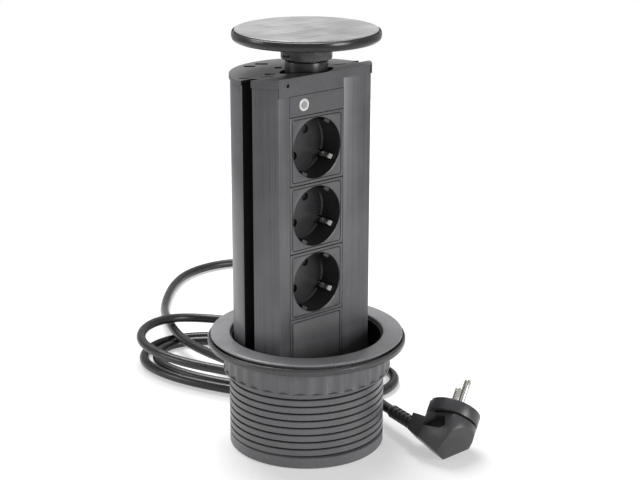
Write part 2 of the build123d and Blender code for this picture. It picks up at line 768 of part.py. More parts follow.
# Each quarter of the coil: centre, half length or half width there, and height of the cord
coil_quarters = (
    (ground_centre, 52.0, floor_height), (ground_centre, 102.0, floor_height),
    (ground_centre, 52.0, floor_height), (ground_centre, 97.0, floor_height),
    (ground_centre, 42.5, floor_height), (ground_centre, 92.0, floor_height),
    (ground_centre, 42.5, floor_height), (raised_centre, 92.0, 11.0),
    (raised_centre, 58.0, 11.3), (raised_centre, 100.0, 21.0), (raised_centre, 58.0, 19.0),
)
quarter_ways = ((coil_across, -coil_way), (-coil_way, -coil_across), (-coil_across, coil_way),
                (coil_way, coil_across))
coil_path_stops = []
for quarter, (centre, reach, high) in enumerate(coil_quarters):
    outward, heading = quarter_ways[quarter % len(quarter_ways)]
    coil_path_stops.append((centre + outward * reach + Vector(0, 0, high), heading))
with BuildPart() as cord_coil:
    with BuildLine() as coil_path:
        for (place, heading), (next_place, next_heading) in zip(coil_path_stops, coil_path_stops[1:]):
            biarc(place, heading, next_place, next_heading)
    with BuildSketch(Plane(origin=coil_path_stops[0][0], z_dir=coil_path_stops[0][1])):
        Circle(cord_diameter / 2)
    coil_wire = coil_path.wires()[0]
    sweep(path=coil_wire)
write(cord_coil.part, "cord_coil")


def least_gap(first, second, joined):
    """Least gap of two cords, or of one with itself, leaving out what is near a shared end."""
    step = gap_step
    first_count = int(first.length / step)
    second_count = int(second.length / step)
    firsts = [first @ (index / first_count) for index in range(first_count + 1)]
    seconds = [second @ (index / second_count) for index in range(second_count + 1)]
    least = None
    for one, place in enumerate(firsts):
        for two, other in enumerate(seconds):
            along = abs(one - two) if first is second else first_count - one + two
            if joined and along * step < joined_run:
                continue
            gap = (place - other).length - cord_diameter
            if least is None or gap < least[0]:
                least = (gap, place, other)
    return round(least[0], 2), tuple(least[1]), tuple(least[2])


print("coil length", round(coil_wire.length, 1), "gap to itself", least_gap(coil_wire, coil_wire, True))

gland_exit = Vector(0, 0, exit_height) + exit_way * gland_tip
coil_start, coil_start_way = coil_path_stops[0]
coil_end, coil_end_way = coil_path_stops[-1]
lead_points = [
    gland_exit,
    gland_exit + exit_way * gland_straight,
    Vector(22.8, 80.5, 11.8),
    Vector(26.8, 102.1, 11.5),
    Vector(27.2, 124.1, 11.0),
    Vector(25.4, 148.1, 11.0),
    Vector(25.7, 171.5, 11.5),
    Vector(31.7, 194.0, 11.5),
    Vector(40.7, 215.2, 11.5),
    Vector(53.2, 237.5, 8.0),
    Vector(68.3, 261.3, 4.0),
    Vector(89.1, 285.7, floor_height),
    Vector(111.6, 307.3, floor_height),
    Vector(137.9, 324.2, floor_height),
    Vector(170.2, 328.1, floor_height),
    Vector(201.7, 315.7, floor_height),
    Vector(226.5, 287.8, floor_height),
    Vector(233.6, 251.5, floor_height),
    Vector(221.1, 212.2, floor_height),
    Vector(202.2, 171.8, floor_height),
    Vector(186.6, 138.2, floor_height),
    Vector(167.9, 112.1, floor_height),
    Vector(148.1, 102.7, floor_height),
    Vector(128.2, 103.9, floor_height),
    coil_start - coil_start_way * coil_lead_in,
    coil_start,
]
lead_wire = cord_tube(lead_points, "cord_lead")

pin_way_plug = Vector(*plug_pin_way).normalized()
cable_way = Vector(*plug_cable_way)
cable_way = (cable_way - pin_way_plug * cable_way.dot(pin_way_plug)).normalized()
plug_plane = Plane(origin=plug_origin, x_dir=cable_way, z_dir=pin_way_plug)
neck_end = Vector(*plug_origin) + cable_way * plug_neck_reach - pin_way_plug * plug_neck_depth
relief_way = Vector(*plug_relief_way).normalized()
relief_end = neck_end + relief_way * relief_length
tail_points = [
    coil_end,
    coil_end + coil_end_way * coil_lead_out,
    Vector(22.1, 62.7, 19.0),
    Vector(41.5, 45.4, 19.0),
    Vector(56.2, 25.6, 17.5),
    Vector(60.5, 2.0, 12.8),
    relief_end + relief_way * relief_straight,
    relief_end,
]
tail_wire = cord_tube(tail_points, "cord_tail")
print("lead to coil", least_gap(lead_wire, coil_wire, True))
print("coil to tail", least_gap(coil_wire, tail_wire, True))
print("lead to tail", least_gap(lead_wire, tail_wire, False))

relief_plane = Plane(origin=neck_end, z_dir=relief_way)

# Plug: face ring, body with its neck, pins, earth contacts and the ribbed strain relief
with BuildPart() as plug_face:
    with BuildSketch(plug_plane.offset(-plug_ring)):
        Circle(plug_radius)
    extrude(amount=plug_ring)
    fillet(plug_face.faces().sort_by(Axis(plug_origin, plug_pin_way))[-1].edges(), rim_chamfer)
    with BuildSketch(plug_plane):
        with PolarLocations(plug_radius, 2, start_angle=plug_pin_turn):
            Rectangle(2 * rib_height, rib_width)
    extrude(amount=-plug_ring, mode=Mode.SUBTRACT)
write(plug_face.part, "plug_face")

side_plane = Plane(origin=plug_origin, x_dir=cable_way, z_dir=cable_way.cross(pin_way_plug))
back_plane_plug = Plane(origin=plug_origin, x_dir=-side_plane.z_dir, z_dir=cable_way)
body_top = plug_ring + plug_groove
with BuildPart() as plug_body:
    with BuildSketch(side_plane):
        with BuildLine():
            Polyline(
                (-plug_radius, -body_top),
                (plug_radius, -body_top),
                (plug_neck_reach, plug_neck_radius - plug_neck_depth),
                (plug_neck_reach, -plug_neck_radius - plug_neck_depth),
                (0, -plug_depth),
                (-plug_radius, -plug_heel_depth),
                close=True,
            )
        make_face()
    extrude(amount=plug_half_width, both=True)
    with BuildSketch(plug_plane.offset(-plug_depth)):
        Circle(plug_radius)
        with Locations((plug_radius, 0)):
            Rectangle(2 * plug_neck_reach, 2 * plug_neck_radius)
    extrude(amount=plug_depth, mode=Mode.INTERSECT)
    with BuildSketch(back_plane_plug):
        with BuildLine():
            Polyline(
                (-plug_half_width, 0),
                (plug_half_width, 0),
                (plug_half_width, -plug_taper_depth),
                (plug_back_half_width, -plug_depth),
                (-plug_back_half_width, -plug_depth),
                (-plug_half_width, -plug_taper_depth),
                close=True,
            )
        make_face()
    extrude(amount=plug_neck_reach + overrun, both=True, mode=Mode.INTERSECT)
    with BuildSketch(side_plane.offset(plug_half_width - grip_depth)):
        with BuildLine():
            Polyline(*grip_corners, close=True)
        make_face()
    extrude(amount=grip_depth + overrun, mode=Mode.SUBTRACT)
    with BuildSketch(side_plane.offset(-plug_half_width + grip_depth)):
        with BuildLine():
            Polyline(*grip_corners, close=True)
        make_face()
    extrude(amount=-grip_depth - overrun, mode=Mode.SUBTRACT)
    with BuildSketch(relief_plane):
        Circle(relief_radius)
    extrude(amount=relief_seat, mode=Mode.SUBTRACT)
    with BuildSketch(plug_plane.offset(-body_top)):
        Circle(plug_half_width - plug_groove_depth)
    extrude(amount=plug_groove)
print("plug's lowest point", round(plug_body.part.bounding_box().min.Z, 2))
write(plug_body.part, "plug_body")

with BuildPart() as plug_pins:
    with BuildSketch(plug_plane):
        with PolarLocations(pin_pitch / 2, 2, start_angle=90 + plug_pin_turn):
            Circle(plug_pin_radius)
    extrude(amount=plug_pin_length)
    fillet(plug_pins.faces().sort_by(Axis(plug_origin, plug_pin_way))[-2:].edges(), plug_pin_radius / 2)
write(plug_pins.part, "plug_pins")

with BuildPart() as plug_earth_contacts:
    with BuildSketch(plug_plane.offset(-plug_ring)):
        contact_place = plug_radius - rib_height + clip_thickness / 2
        with PolarLocations(contact_place, 2, start_angle=plug_pin_turn):
            Rectangle(clip_thickness, rib_width - 2 * seat_gap)
    extrude(amount=plug_ring)
write(plug_earth_contacts.part, "plug_earth_contacts")

with BuildPart() as strain_relief:
    with BuildSketch(relief_plane):
        Circle(relief_radius - relief_rib_depth)
    extrude(amount=relief_length)
    rib_step = relief_length / relief_ribs
    for rib in range(relief_ribs):
        with BuildSketch(relief_plane.offset(rib * rib_step)):
            Circle(relief_radius)
        extrude(amount=rib_step / 2)
write(strain_relief.part, "strain_relief")
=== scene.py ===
"""Pop up desk socket, dressed: a pulled up tower of earthed sockets in its threaded desk sleeve.

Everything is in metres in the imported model's own frame: +Z up, the tower's front faces -Y, and the
origin is the centre of the sleeve's bottom edge.
"""

from __future__ import annotations

import json
import logging
import math
from dataclasses import dataclass, field
from typing import Callable, Sequence

import bpy
from mathutils import Matrix, Vector

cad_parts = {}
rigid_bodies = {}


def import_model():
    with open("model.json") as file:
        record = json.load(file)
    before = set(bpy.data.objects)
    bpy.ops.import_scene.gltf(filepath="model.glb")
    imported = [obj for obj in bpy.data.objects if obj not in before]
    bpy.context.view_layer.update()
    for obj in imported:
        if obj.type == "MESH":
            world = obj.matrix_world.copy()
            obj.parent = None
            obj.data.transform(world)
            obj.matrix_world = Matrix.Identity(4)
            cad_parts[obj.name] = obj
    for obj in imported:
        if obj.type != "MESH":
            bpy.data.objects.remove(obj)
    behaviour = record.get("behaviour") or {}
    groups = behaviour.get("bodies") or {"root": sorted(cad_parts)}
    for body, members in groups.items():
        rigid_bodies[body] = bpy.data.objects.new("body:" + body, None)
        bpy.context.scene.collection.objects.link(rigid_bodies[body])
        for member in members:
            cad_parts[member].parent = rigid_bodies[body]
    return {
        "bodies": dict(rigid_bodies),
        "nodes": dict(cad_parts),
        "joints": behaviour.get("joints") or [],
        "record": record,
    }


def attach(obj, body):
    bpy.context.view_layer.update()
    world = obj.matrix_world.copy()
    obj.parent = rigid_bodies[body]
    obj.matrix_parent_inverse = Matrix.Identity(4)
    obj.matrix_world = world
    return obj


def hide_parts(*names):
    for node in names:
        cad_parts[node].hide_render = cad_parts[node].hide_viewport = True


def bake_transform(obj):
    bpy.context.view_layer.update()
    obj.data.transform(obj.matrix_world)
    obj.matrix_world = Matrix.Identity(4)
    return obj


log = logging.getLogger("desk_socket")

MM = 0.001
# The fine grain's share in a finish's change of tone. The rest is the slow change.
GRAIN_SHARE = 0.55
# How far the roughness swings about a finish's own.
ROUGH_SWING = 0.06
# How a pattern is drawn out along X, Y and Z: die lines run upright and brush lines run across.
PLAIN = (1.0, 1.0, 1.0)
EXTRUDED = (1.0, 1.0, 0.012)
BRUSHED = (0.03, 1.0, 1.0)
# How many faces round off an edge.
ROUND_FACES = 2
# How fine the rings of the large and the small round pieces are.
FINE_SIDES = 224
MID_SIDES = 96

Pair = tuple[float, float]
Point = tuple[float, float, float]
Profile = Sequence[Pair]
Piece = bpy.types.Object
FaceTest = Callable[[Vector, Vector], bool]

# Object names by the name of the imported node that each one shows.
NODES: dict[str, str] = {}


def linear(hex_colour: str) -> tuple[float, float, float, float]:
    """Turn an sRGB hex colour to linear RGBA.

    Args:
        hex_colour: A colour such as "#1F1F20".

    Returns:
        The linear red, green and blue, with an alpha of 1.
    """
    shares = [int(hex_colour[i : i + 2], 16) / 255 for i in (1, 3, 5)]
    red, green, blue = (s / 12.92 if s <= 0.04045 else ((s + 0.055) / 1.055) ** 2.4 for s in shares)
    return red, green, blue, 1.0


def add_node(
    tree: bpy.types.NodeTree, kind: str, settings: dict | None = None, links: dict | None = None
) -> bpy.types.Node:
    """Add a node to a tree, with its settings and its incoming links.

    Args:
        tree: The node tree that gets the node.
        kind: The node's type name.
        settings: Attribute or input names with their values.
        links: Input names with the output sockets that feed them.

    Returns:
        The new node.
    """
    node = tree.nodes.new(kind)
    for key, value in (settings or {}).items():
        if isinstance(key, str) and key not in node.inputs:
            setattr(node, key, value)
        else:
            node.inputs[key].default_value = value
    for key, socket in (links or {}).items():
        tree.links.new(socket, node.inputs[key])
    return node


@dataclass(frozen=True)
class Finish:
    """One finish of the object: its colour, gloss and fine pattern."""

    name: str
    colour: str
    second_colour: str
    roughness: float
    slot: str
    grain_mm: float = 1.0
    depth_mm: float = 0.02
    stretch: Point = PLAIN
    metallic: float = 0.0
    ior: float = 1.5

    def build(self) -> bpy.types.Material:
        """Make the material, or return the one that was made before.

        Returns:
            The material of this finish.
        """
        made = bpy.data.materials.get(self.name)
        if made is not None:
            return made
        material = bpy.data.materials.new(self.name)
        material.use_nodes = True
        tree = material.node_tree
        tree.nodes.clear()
        place = add_node(tree, "ShaderNodeTexCoord").outputs["Object"]
        cells = 1 / (self.grain_mm * MM)
        scale = tuple(cells * way for way in self.stretch)
        fine = add_node(tree, "ShaderNodeMapping", {"Scale": scale}, {"Vector": place})
        grain = add_node(
            tree,
            "ShaderNodeTexNoise",
            {"Scale": 1.0, "Detail": 3.0, "Roughness": 0.6},
            {"Vector": fine.outputs["Vector"]},
        )
        # Handling and moulding leave slow changes of tone about 25 mm across.
        slow = add_node(tree, "ShaderNodeTexNoise", {"Scale": 40.0, "Detail": 2.0}, {"Vector": place})
        slow_part = add_node(
            tree,
            "ShaderNodeMath",
            {"operation": "MULTIPLY", 1: 1 - GRAIN_SHARE},
            {0: slow.outputs["Fac"]},
        )
        blend = add_node(
            tree,
            "ShaderNodeMath",
            {"operation": "MULTIPLY_ADD", 1: GRAIN_SHARE},
            {0: grain.outputs["Fac"], 2: slow_part.outputs[0]},
        )
        tone = add_node(tree, "ShaderNodeMapRange", {1: 0.38, 2: 0.62}, {0: blend.outputs[0]})
        colour = add_node(
            tree,
            "ShaderNodeMix",
            {"data_type": "RGBA", 6: linear(self.colour), 7: linear(self.second_colour)},
            {"Factor": tone.outputs[0]},
        )
        rough = add_node(
            tree,
            "ShaderNodeMapRange",
            {
                1: 0.3,
                2: 0.7,
                3: max(0.02, self.roughness - ROUGH_SWING),
                4: min(1.0, self.roughness + ROUGH_SWING),
            },
            {0: blend.outputs[0]},
        )
        bump = add_node(
            tree,
            "ShaderNodeBump",
            {"Strength": 0.35, "Distance": self.depth_mm * MM},
            {"Height": grain.outputs["Fac"]},
        )
        shader = add_node(
            tree,
            "ShaderNodeBsdfPrincipled",
            {"Metallic": self.metallic, "IOR": self.ior},
            {
                "Base Color": colour.outputs[2],
                "Roughness": rough.outputs[0],
                "Normal": bump.outputs["Normal"],
            },
        )
        add_node(tree, "ShaderNodeOutputMaterial", links={"Surface": shader.outputs[0]})
        return material


# Anodised aluminium extrusion: satin black, with fine upright die lines that catch the light.
EXTRUSION = Finish(
    "anodised_aluminium_extrusion", "#48484B", "#59595C", 0.36, "black_metal", 1.4, 0.05, EXTRUDED,
    ior=1.6,
)
# Brushed aluminium, clear anodised over a dark dye: it mirrors the sky in long soft streaks.
BRUSHED_CAP = Finish(
    "brushed_aluminium", "#A5A4A5", "#C0BFC0", 0.32, "brushed_cap", 1.3, 0.03, BRUSHED, metallic=1.0
)
# Painted die casting: smooth and satin, a little lighter along what is rubbed.
FLANGE_PAINT = Finish("satin_powder_paint", "#38383A", "#434345", 0.3, "black_metal", 1.2, 0.03)
# Injection moulded ABS with a spark eroded skin, drawn coarser than its real 0.1 mm so that it shows.
ABS = Finish("moulded_abs", "#434345", "#4E4E50", 0.42, "black_plastic", 1.1, 0.05)
# The same ABS drawn paler: on the sleeve and its thread as painted light for the light on its front; on
# the nut and the end cap as a paler grey.
LIT_ABS_THREAD = Finish("moulded_abs_thread_painted_light", "#5A5A5C", "#676769", 0.4, "black_plastic", 1.1, 0.05)
ABS_NUT = Finish("moulded_abs_grey", "#58585A", "#636365", 0.45, "black_plastic", 1.1, 0.05)
END_CAP = Finish("moulded_abs_end_cap", "#4B4B4D", "#5A5A5C", 0.38, "black_plastic", 1.0, 0.06)
# Polycarbonate faces: a tighter skin and more gloss than the ABS.
FACES = Finish("moulded_polycarbonate", "#4A4A4C", "#545456", 0.33, "face_plastic", 1.0, 0.02, ior=1.58)
# Glass filled polyamide of the inner pieces: nearly black and flat.
INNER = Finish("black_polyamide", "#161617", "#1D1D1E", 0.5, "inner_plastic", 1.0, 0.03)
# The lens: a milky ring of acrylic with a smoked core, both glossy.
LENS = Finish("white_acrylic", "#CFCFCC", "#DCDCDA", 0.2, "white_lens", 1.5, 0.005, ior=1.49)
LENS_CORE = Finish("smoked_acrylic", "#8F8F8D", "#A2A2A0", 0.2, "white_lens", 1.5, 0.005, ior=1.49)
# Plated pins and earth fingers: the brightest, sharpest reflections of all.
NICKEL = Finish("nickel_plated_brass", "#CFCCC8", "#E2DFDB", 0.22, "nickel", 1.2, 0.01, metallic=1.0)
# Zinc, brass and spring wire: softer metal reflections, the brass the one warm colour.
ZINC = Finish("zinc_plated_steel", "#8E8E8E", "#A5A5A5", 0.35, "zinc_steel", 1.2, 0.02, metallic=1.0)
BRASS = Finish("rolled_brass", "#B08D4A", "#C4A15C", 0.3, "contact_brass", 1.2, 0.02, metallic=1.0)
SPRING = Finish("spring_steel_wire", "#5C5C60", "#77777B", 0.3, "spring_steel", 1.0, 0.02, metallic=1.0)
# Extruded PVC sheath: smooth, with the soft gloss of a cord that has lain in its box.
CORD_SKIN = Finish("extruded_pvc", "#161617", "#1F1F20", 0.3, "cord_black", 2.5, 0.05)
# The plug's PVC: greyer and drier than the cord's.
PLUG_SKIN = Finish("moulded_pvc", "#333335", "#424244", 0.34, "plug_black", 1.0, 0.04)
# The cap's rim, collar and plunger: polished moulds give them a dark gloss.
RIM = Finish("gloss_abs", "#262628", "#2E2E30", 0.27, "black_plastic", 1.1, 0.02)
CAP_RIM = Finish("gloss_abs_rim", "#19191B", "#1F1F21", 0.25, "black_plastic", 1.1, 0.02)
COLLAR = Finish("gloss_abs_collar", "#3C3C3E", "#464648", 0.27, "black_plastic", 1.1, 0.02)
# The flange's top plate is the same paint drawn paler: painted sheen that stands in for the grazing
# reflection of the sky on it.
FLANGE_TOP_SHEEN = Finish("satin_paint_painted_sheen", "#727274", "#818183", 0.3, "black_metal", 1.3, 0.03)
# Painted shade: the guide grooves are drawn dull and nearly black, and so is the sleeve's inside, to
# stand in for the shade in them.
GROOVE_SHADOW = Finish(
    "anodising_painted_groove_shadow", "#0B0B0C", "#121213", 0.6, "black_metal", 1.4, 0.03, EXTRUDED, ior=1.35
)
# Painted shade for the sleeve's inside, the end cap's slots, notches and recess, the plates' frame
# grooves and the plug's finger hollows.
PAINTED_SHADE = Finish("abs_painted_shade", "#0A0A0B", "#101011", 0.62, "black_plastic", 1.1, 0.03, ior=1.35)
# The wells are polished, so their curved walls carry long highlights.
WELL = Finish(
    "gloss_black_polycarbonate", "#28282A", "#313133", 0.3, "face_plastic", 1.0, 0.02, ior=1.5
)
# Coloured PVC of the single wires.
WIRE = Finish("pvc_wire_skin", "#2C4E8C", "#35599A", 0.4, "wire_skin", 1.0, 0.02)


def only(obj: Piece) -> None:
    """Make one object the only one selected, and the active one.

    Args:
        obj: The object.
    """
    bpy.ops.object.select_all(action="DESELECT")
    obj.select_set(True)
    bpy.context.view_layer.objects.active = obj


def settle(obj: Piece, name: str) -> Piece:
    """Name an object and put its place into its mesh.

    Args:
        obj: The object, wherever it stands.
        name: The piece's name.

    Returns:
        The same object, at the origin, unturned and unscaled.
    """
    only(obj)
    bpy.ops.object.transform_apply(location=True, rotation=True, scale=True)
    obj.name = name
    obj.data.name = name
    return obj


def pick(obj: Piece, kind: str, test: FaceTest) -> None:
    """Select the edges or faces that pass a test, in edit mode.

    Args:
        obj: The object, in edit mode.
        kind: EDGE or FACE.
        test: Gets a centre, with an edge's direction or a face's normal, and says whether it is wanted.
    """
    bpy.ops.mesh.select_mode(type=kind)
    bpy.ops.mesh.select_all(action="DESELECT")
    bpy.ops.object.mode_set(mode="OBJECT")
    mesh = obj.data
    if kind == "EDGE":
        for edge in mesh.edges:
            start, end = (mesh.vertices[i].co for i in edge.vertices)
            edge.select = bool(test((start + end) / 2, (end - start).normalized()))
    else:
        for face in mesh.polygons:
            face.select = bool(test(face.center, face.normal))
    bpy.ops.object.mode_set(mode="EDIT")


def apply_modifiers(obj: Piece) -> None:
    """Apply every modifier of an object.

    Args:
        obj: The object.
    """
    only(obj)
    for modifier in list(obj.modifiers):
        bpy.ops.object.modifier_apply(modifier=modifier.name)


def soften(obj: Piece, width_mm: float, angle: float) -> None:
    """Round an object's sharp edges and shade the rest smooth.

    Args:
        obj: The object.
        width_mm: The rounding's width.
        angle: The least angle between two faces that makes an edge sharp, in degrees.
    """
    if width_mm:
        bevel = obj.modifiers.new("edge", "BEVEL")
        bevel.width = width_mm * MM
        bevel.segments = ROUND_FACES
        bevel.limit_method = "ANGLE"
        bevel.angle_limit = math.radians(angle)
        bevel.miter_outer = "MITER_ARC"
        bevel.use_clamp_overlap = True
    apply_modifiers(obj)
    bpy.ops.object.shade_smooth_by_angle(angle=math.radians(angle))


def close_mesh() -> None:
    """Turn every face of the mesh in edit mode outward, and leave edit mode."""
    bpy.ops.mesh.select_all(action="SELECT")
    bpy.ops.mesh.normals_make_consistent(inside=False)
    bpy.ops.object.mode_set(mode="OBJECT")


def turned(name: str, profile_mm: Profile, sides: int = 192) -> Piece:
    """Shape a round piece about Z from a ring that is extruded and resized up its profile.

    Args:
        name: The piece's name.
        profile_mm: Radius and height of each step, the first one repeated at the end of a closed one.
        sides: How many sides the ring has.

    Returns:
        The new object.
    """
    radius, height = profile_mm[0]
    bpy.ops.mesh.primitive_circle_add(vertices=sides, radius=radius * MM, location=(0, 0, height * MM))
    obj = settle(bpy.context.object, name)
    bpy.ops.object.mode_set(mode="EDIT")
    bpy.ops.mesh.select_mode(type="VERT")
    bpy.ops.mesh.select_all(action="SELECT")
    for next_radius, next_height in profile_mm[1:]:
        bpy.ops.mesh.extrude_region_move(
            TRANSFORM_OT_translate={"value": (0, 0, (next_height - height) * MM)}
        )
        share = next_radius / radius
        if abs(share - 1) > 1e-9:
            bpy.ops.transform.resize(value=(share, share, 1), center_override=(0, 0, next_height * MM))
        radius, height = next_radius, next_height
    bpy.ops.mesh.select_all(action="SELECT")
    bpy.ops.mesh.remove_doubles(threshold=1e-6)
    close_mesh()
    return obj


def slab(name: str, wide_mm: float, tall_mm: float, depth_mm: float, matrix: Matrix) -> Piece:
    """Shape a rectangular plate, extruded from its back.

    Args:
        name: The piece's name.
        wide_mm: Its size along its own X.
        tall_mm: Its size along its own Y.
        depth_mm: Its size along its own Z.
        matrix: Where its middle and its own frame stand.

    Returns:
        The new object.
    """
    across, up = wide_mm / 2, tall_mm / 2
    corners = ((across, up), (-across, up), (-across, -up), (across, -up))
    bpy.ops.mesh.primitive_circle_add(vertices=len(corners), radius=1.0, fill_type="NGON")
    obj = bpy.context.object
    for vertex, (x, y) in zip(obj.data.vertices, corners):
        vertex.co = (x * MM, y * MM, -depth_mm / 2 * MM)
    bpy.ops.object.mode_set(mode="EDIT")
    bpy.ops.mesh.select_all(action="SELECT")
    bpy.ops.mesh.extrude_region_move(TRANSFORM_OT_translate={"value": (0, 0, depth_mm * MM)})
    close_mesh()
    obj.matrix_world = matrix
    return settle(obj, name)


def block(middle: Point, size: Point, turn: float = 0.0) -> Piece:
    """Shape a block for cutting.

    Args:
        middle: Its middle, in millimetres.
        size: Its sides, in millimetres.
        turn: Its turn about Z, in degrees.

    Returns:
        The block.
    """
    bpy.ops.mesh.primitive_cube_add(size=1.0)
    obj = bpy.context.object
    obj.scale = Vector(size) * MM
    obj.rotation_euler = (0, 0, math.radians(turn))
    obj.location = Vector(middle) * MM
    return settle(obj, "block")


def around(reach: float, turn: float, height: float) -> Point:
    """Find a point by its way from the upright axis.

    Args:
        reach: Its distance from the axis.
        turn: Its direction from the axis, in degrees from X.
        height: Its height.

    Returns:
        The point.
    """
    return reach * math.cos(math.radians(turn)), reach * math.sin(math.radians(turn)), height


def carve(obj: Piece, cutter: Piece, operation: str = "DIFFERENCE") -> None:
    """Cut one object with another, or join them, and remove the other.

    Args:
        obj: The object that stays.
        cutter: The object that is used up.
        operation: The Boolean modifier's operation.
    """
    boolean = obj.modifiers.new("carve", "BOOLEAN")
    boolean.operation = operation
    boolean.solver = "EXACT"
    boolean.object = cutter
    apply_modifiers(obj)
    bpy.data.objects.remove(cutter, do_unlink=True)


def from_node(node: str, name: str, edge_mm: float = 0.3, angle: float = 32.0) -> Piece:
    """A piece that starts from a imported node's mesh, merged, with its edges rounded.

    Args:
        node: The node whose shape is right.
        name: The new piece's name.
        edge_mm: The rounding of its edges.
        angle: The least angle of an edge that is rounded, in degrees.

    Returns:
        The new object, which stands for the node.
    """
    bpy.ops.object.select_all(action="DESELECT")
    bpy.ops.mesh.primitive_plane_add(size=MM)
    obj = bpy.context.object
    obj.data = bpy.data.objects[NODES[node]].data.copy()
    obj.data.materials.clear()
    only(obj)
    bpy.ops.object.mode_set(mode="EDIT")
    bpy.ops.mesh.select_all(action="SELECT")
    bpy.ops.mesh.remove_doubles(threshold=2e-6)
    bpy.ops.mesh.dissolve_limited(angle_limit=math.radians(0.5))
    bpy.ops.object.mode_set(mode="OBJECT")
    settle(obj, name)
    soften(obj, edge_mm, angle)
    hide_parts(node)
    return obj


def second_finish(obj: Piece, finish: Finish, test: FaceTest) -> None:
    """Give some faces of a dressed piece another finish.

    Args:
        obj: The dressed piece.
        finish: The faces' finish.
        test: Gets a face's centre and normal and says whether it is wanted.
    """
    obj.data.materials.append(finish.build())
    for face in obj.data.polygons:
        if test(face.center, face.normal):
            face.material_index = 1


def dress(obj: Piece, finish: Finish, body: str) -> Piece:
    """Give a piece its finish and its body.

    Args:
        obj: The finished piece.
        finish: Its finish.
        body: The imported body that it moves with.

    Returns:
        The same object.
    """
    obj.data.materials.clear()
    obj.data.materials.append(finish.build())
    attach(obj, body)
    log.info("%s: %s on %s", obj.name, finish.name, body)
    return obj


def complete(obj: Piece, edge_mm: float, angle: float, finish: Finish, body: str) -> None:
    """Round, shade and dress a piece that is shaped here.

    Args:
        obj: The piece.
        edge_mm: The rounding of its edges.
        angle: The least angle of an edge that stays sharp, in degrees.
        finish: Its finish.
        body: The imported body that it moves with.
    """
    soften(obj, edge_mm, angle)
    dress(obj, finish, body)


def dress_nodes(rows: Sequence[tuple[str, str, float, Finish]], body: str) -> None:
    """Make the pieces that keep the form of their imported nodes.

    Args:
        rows: Each piece's node, name, edge rounding and finish.
        body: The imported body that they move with.
    """
    for node, name, edge_mm, finish in rows:
        dress(from_node(node, name, edge_mm), finish, body)


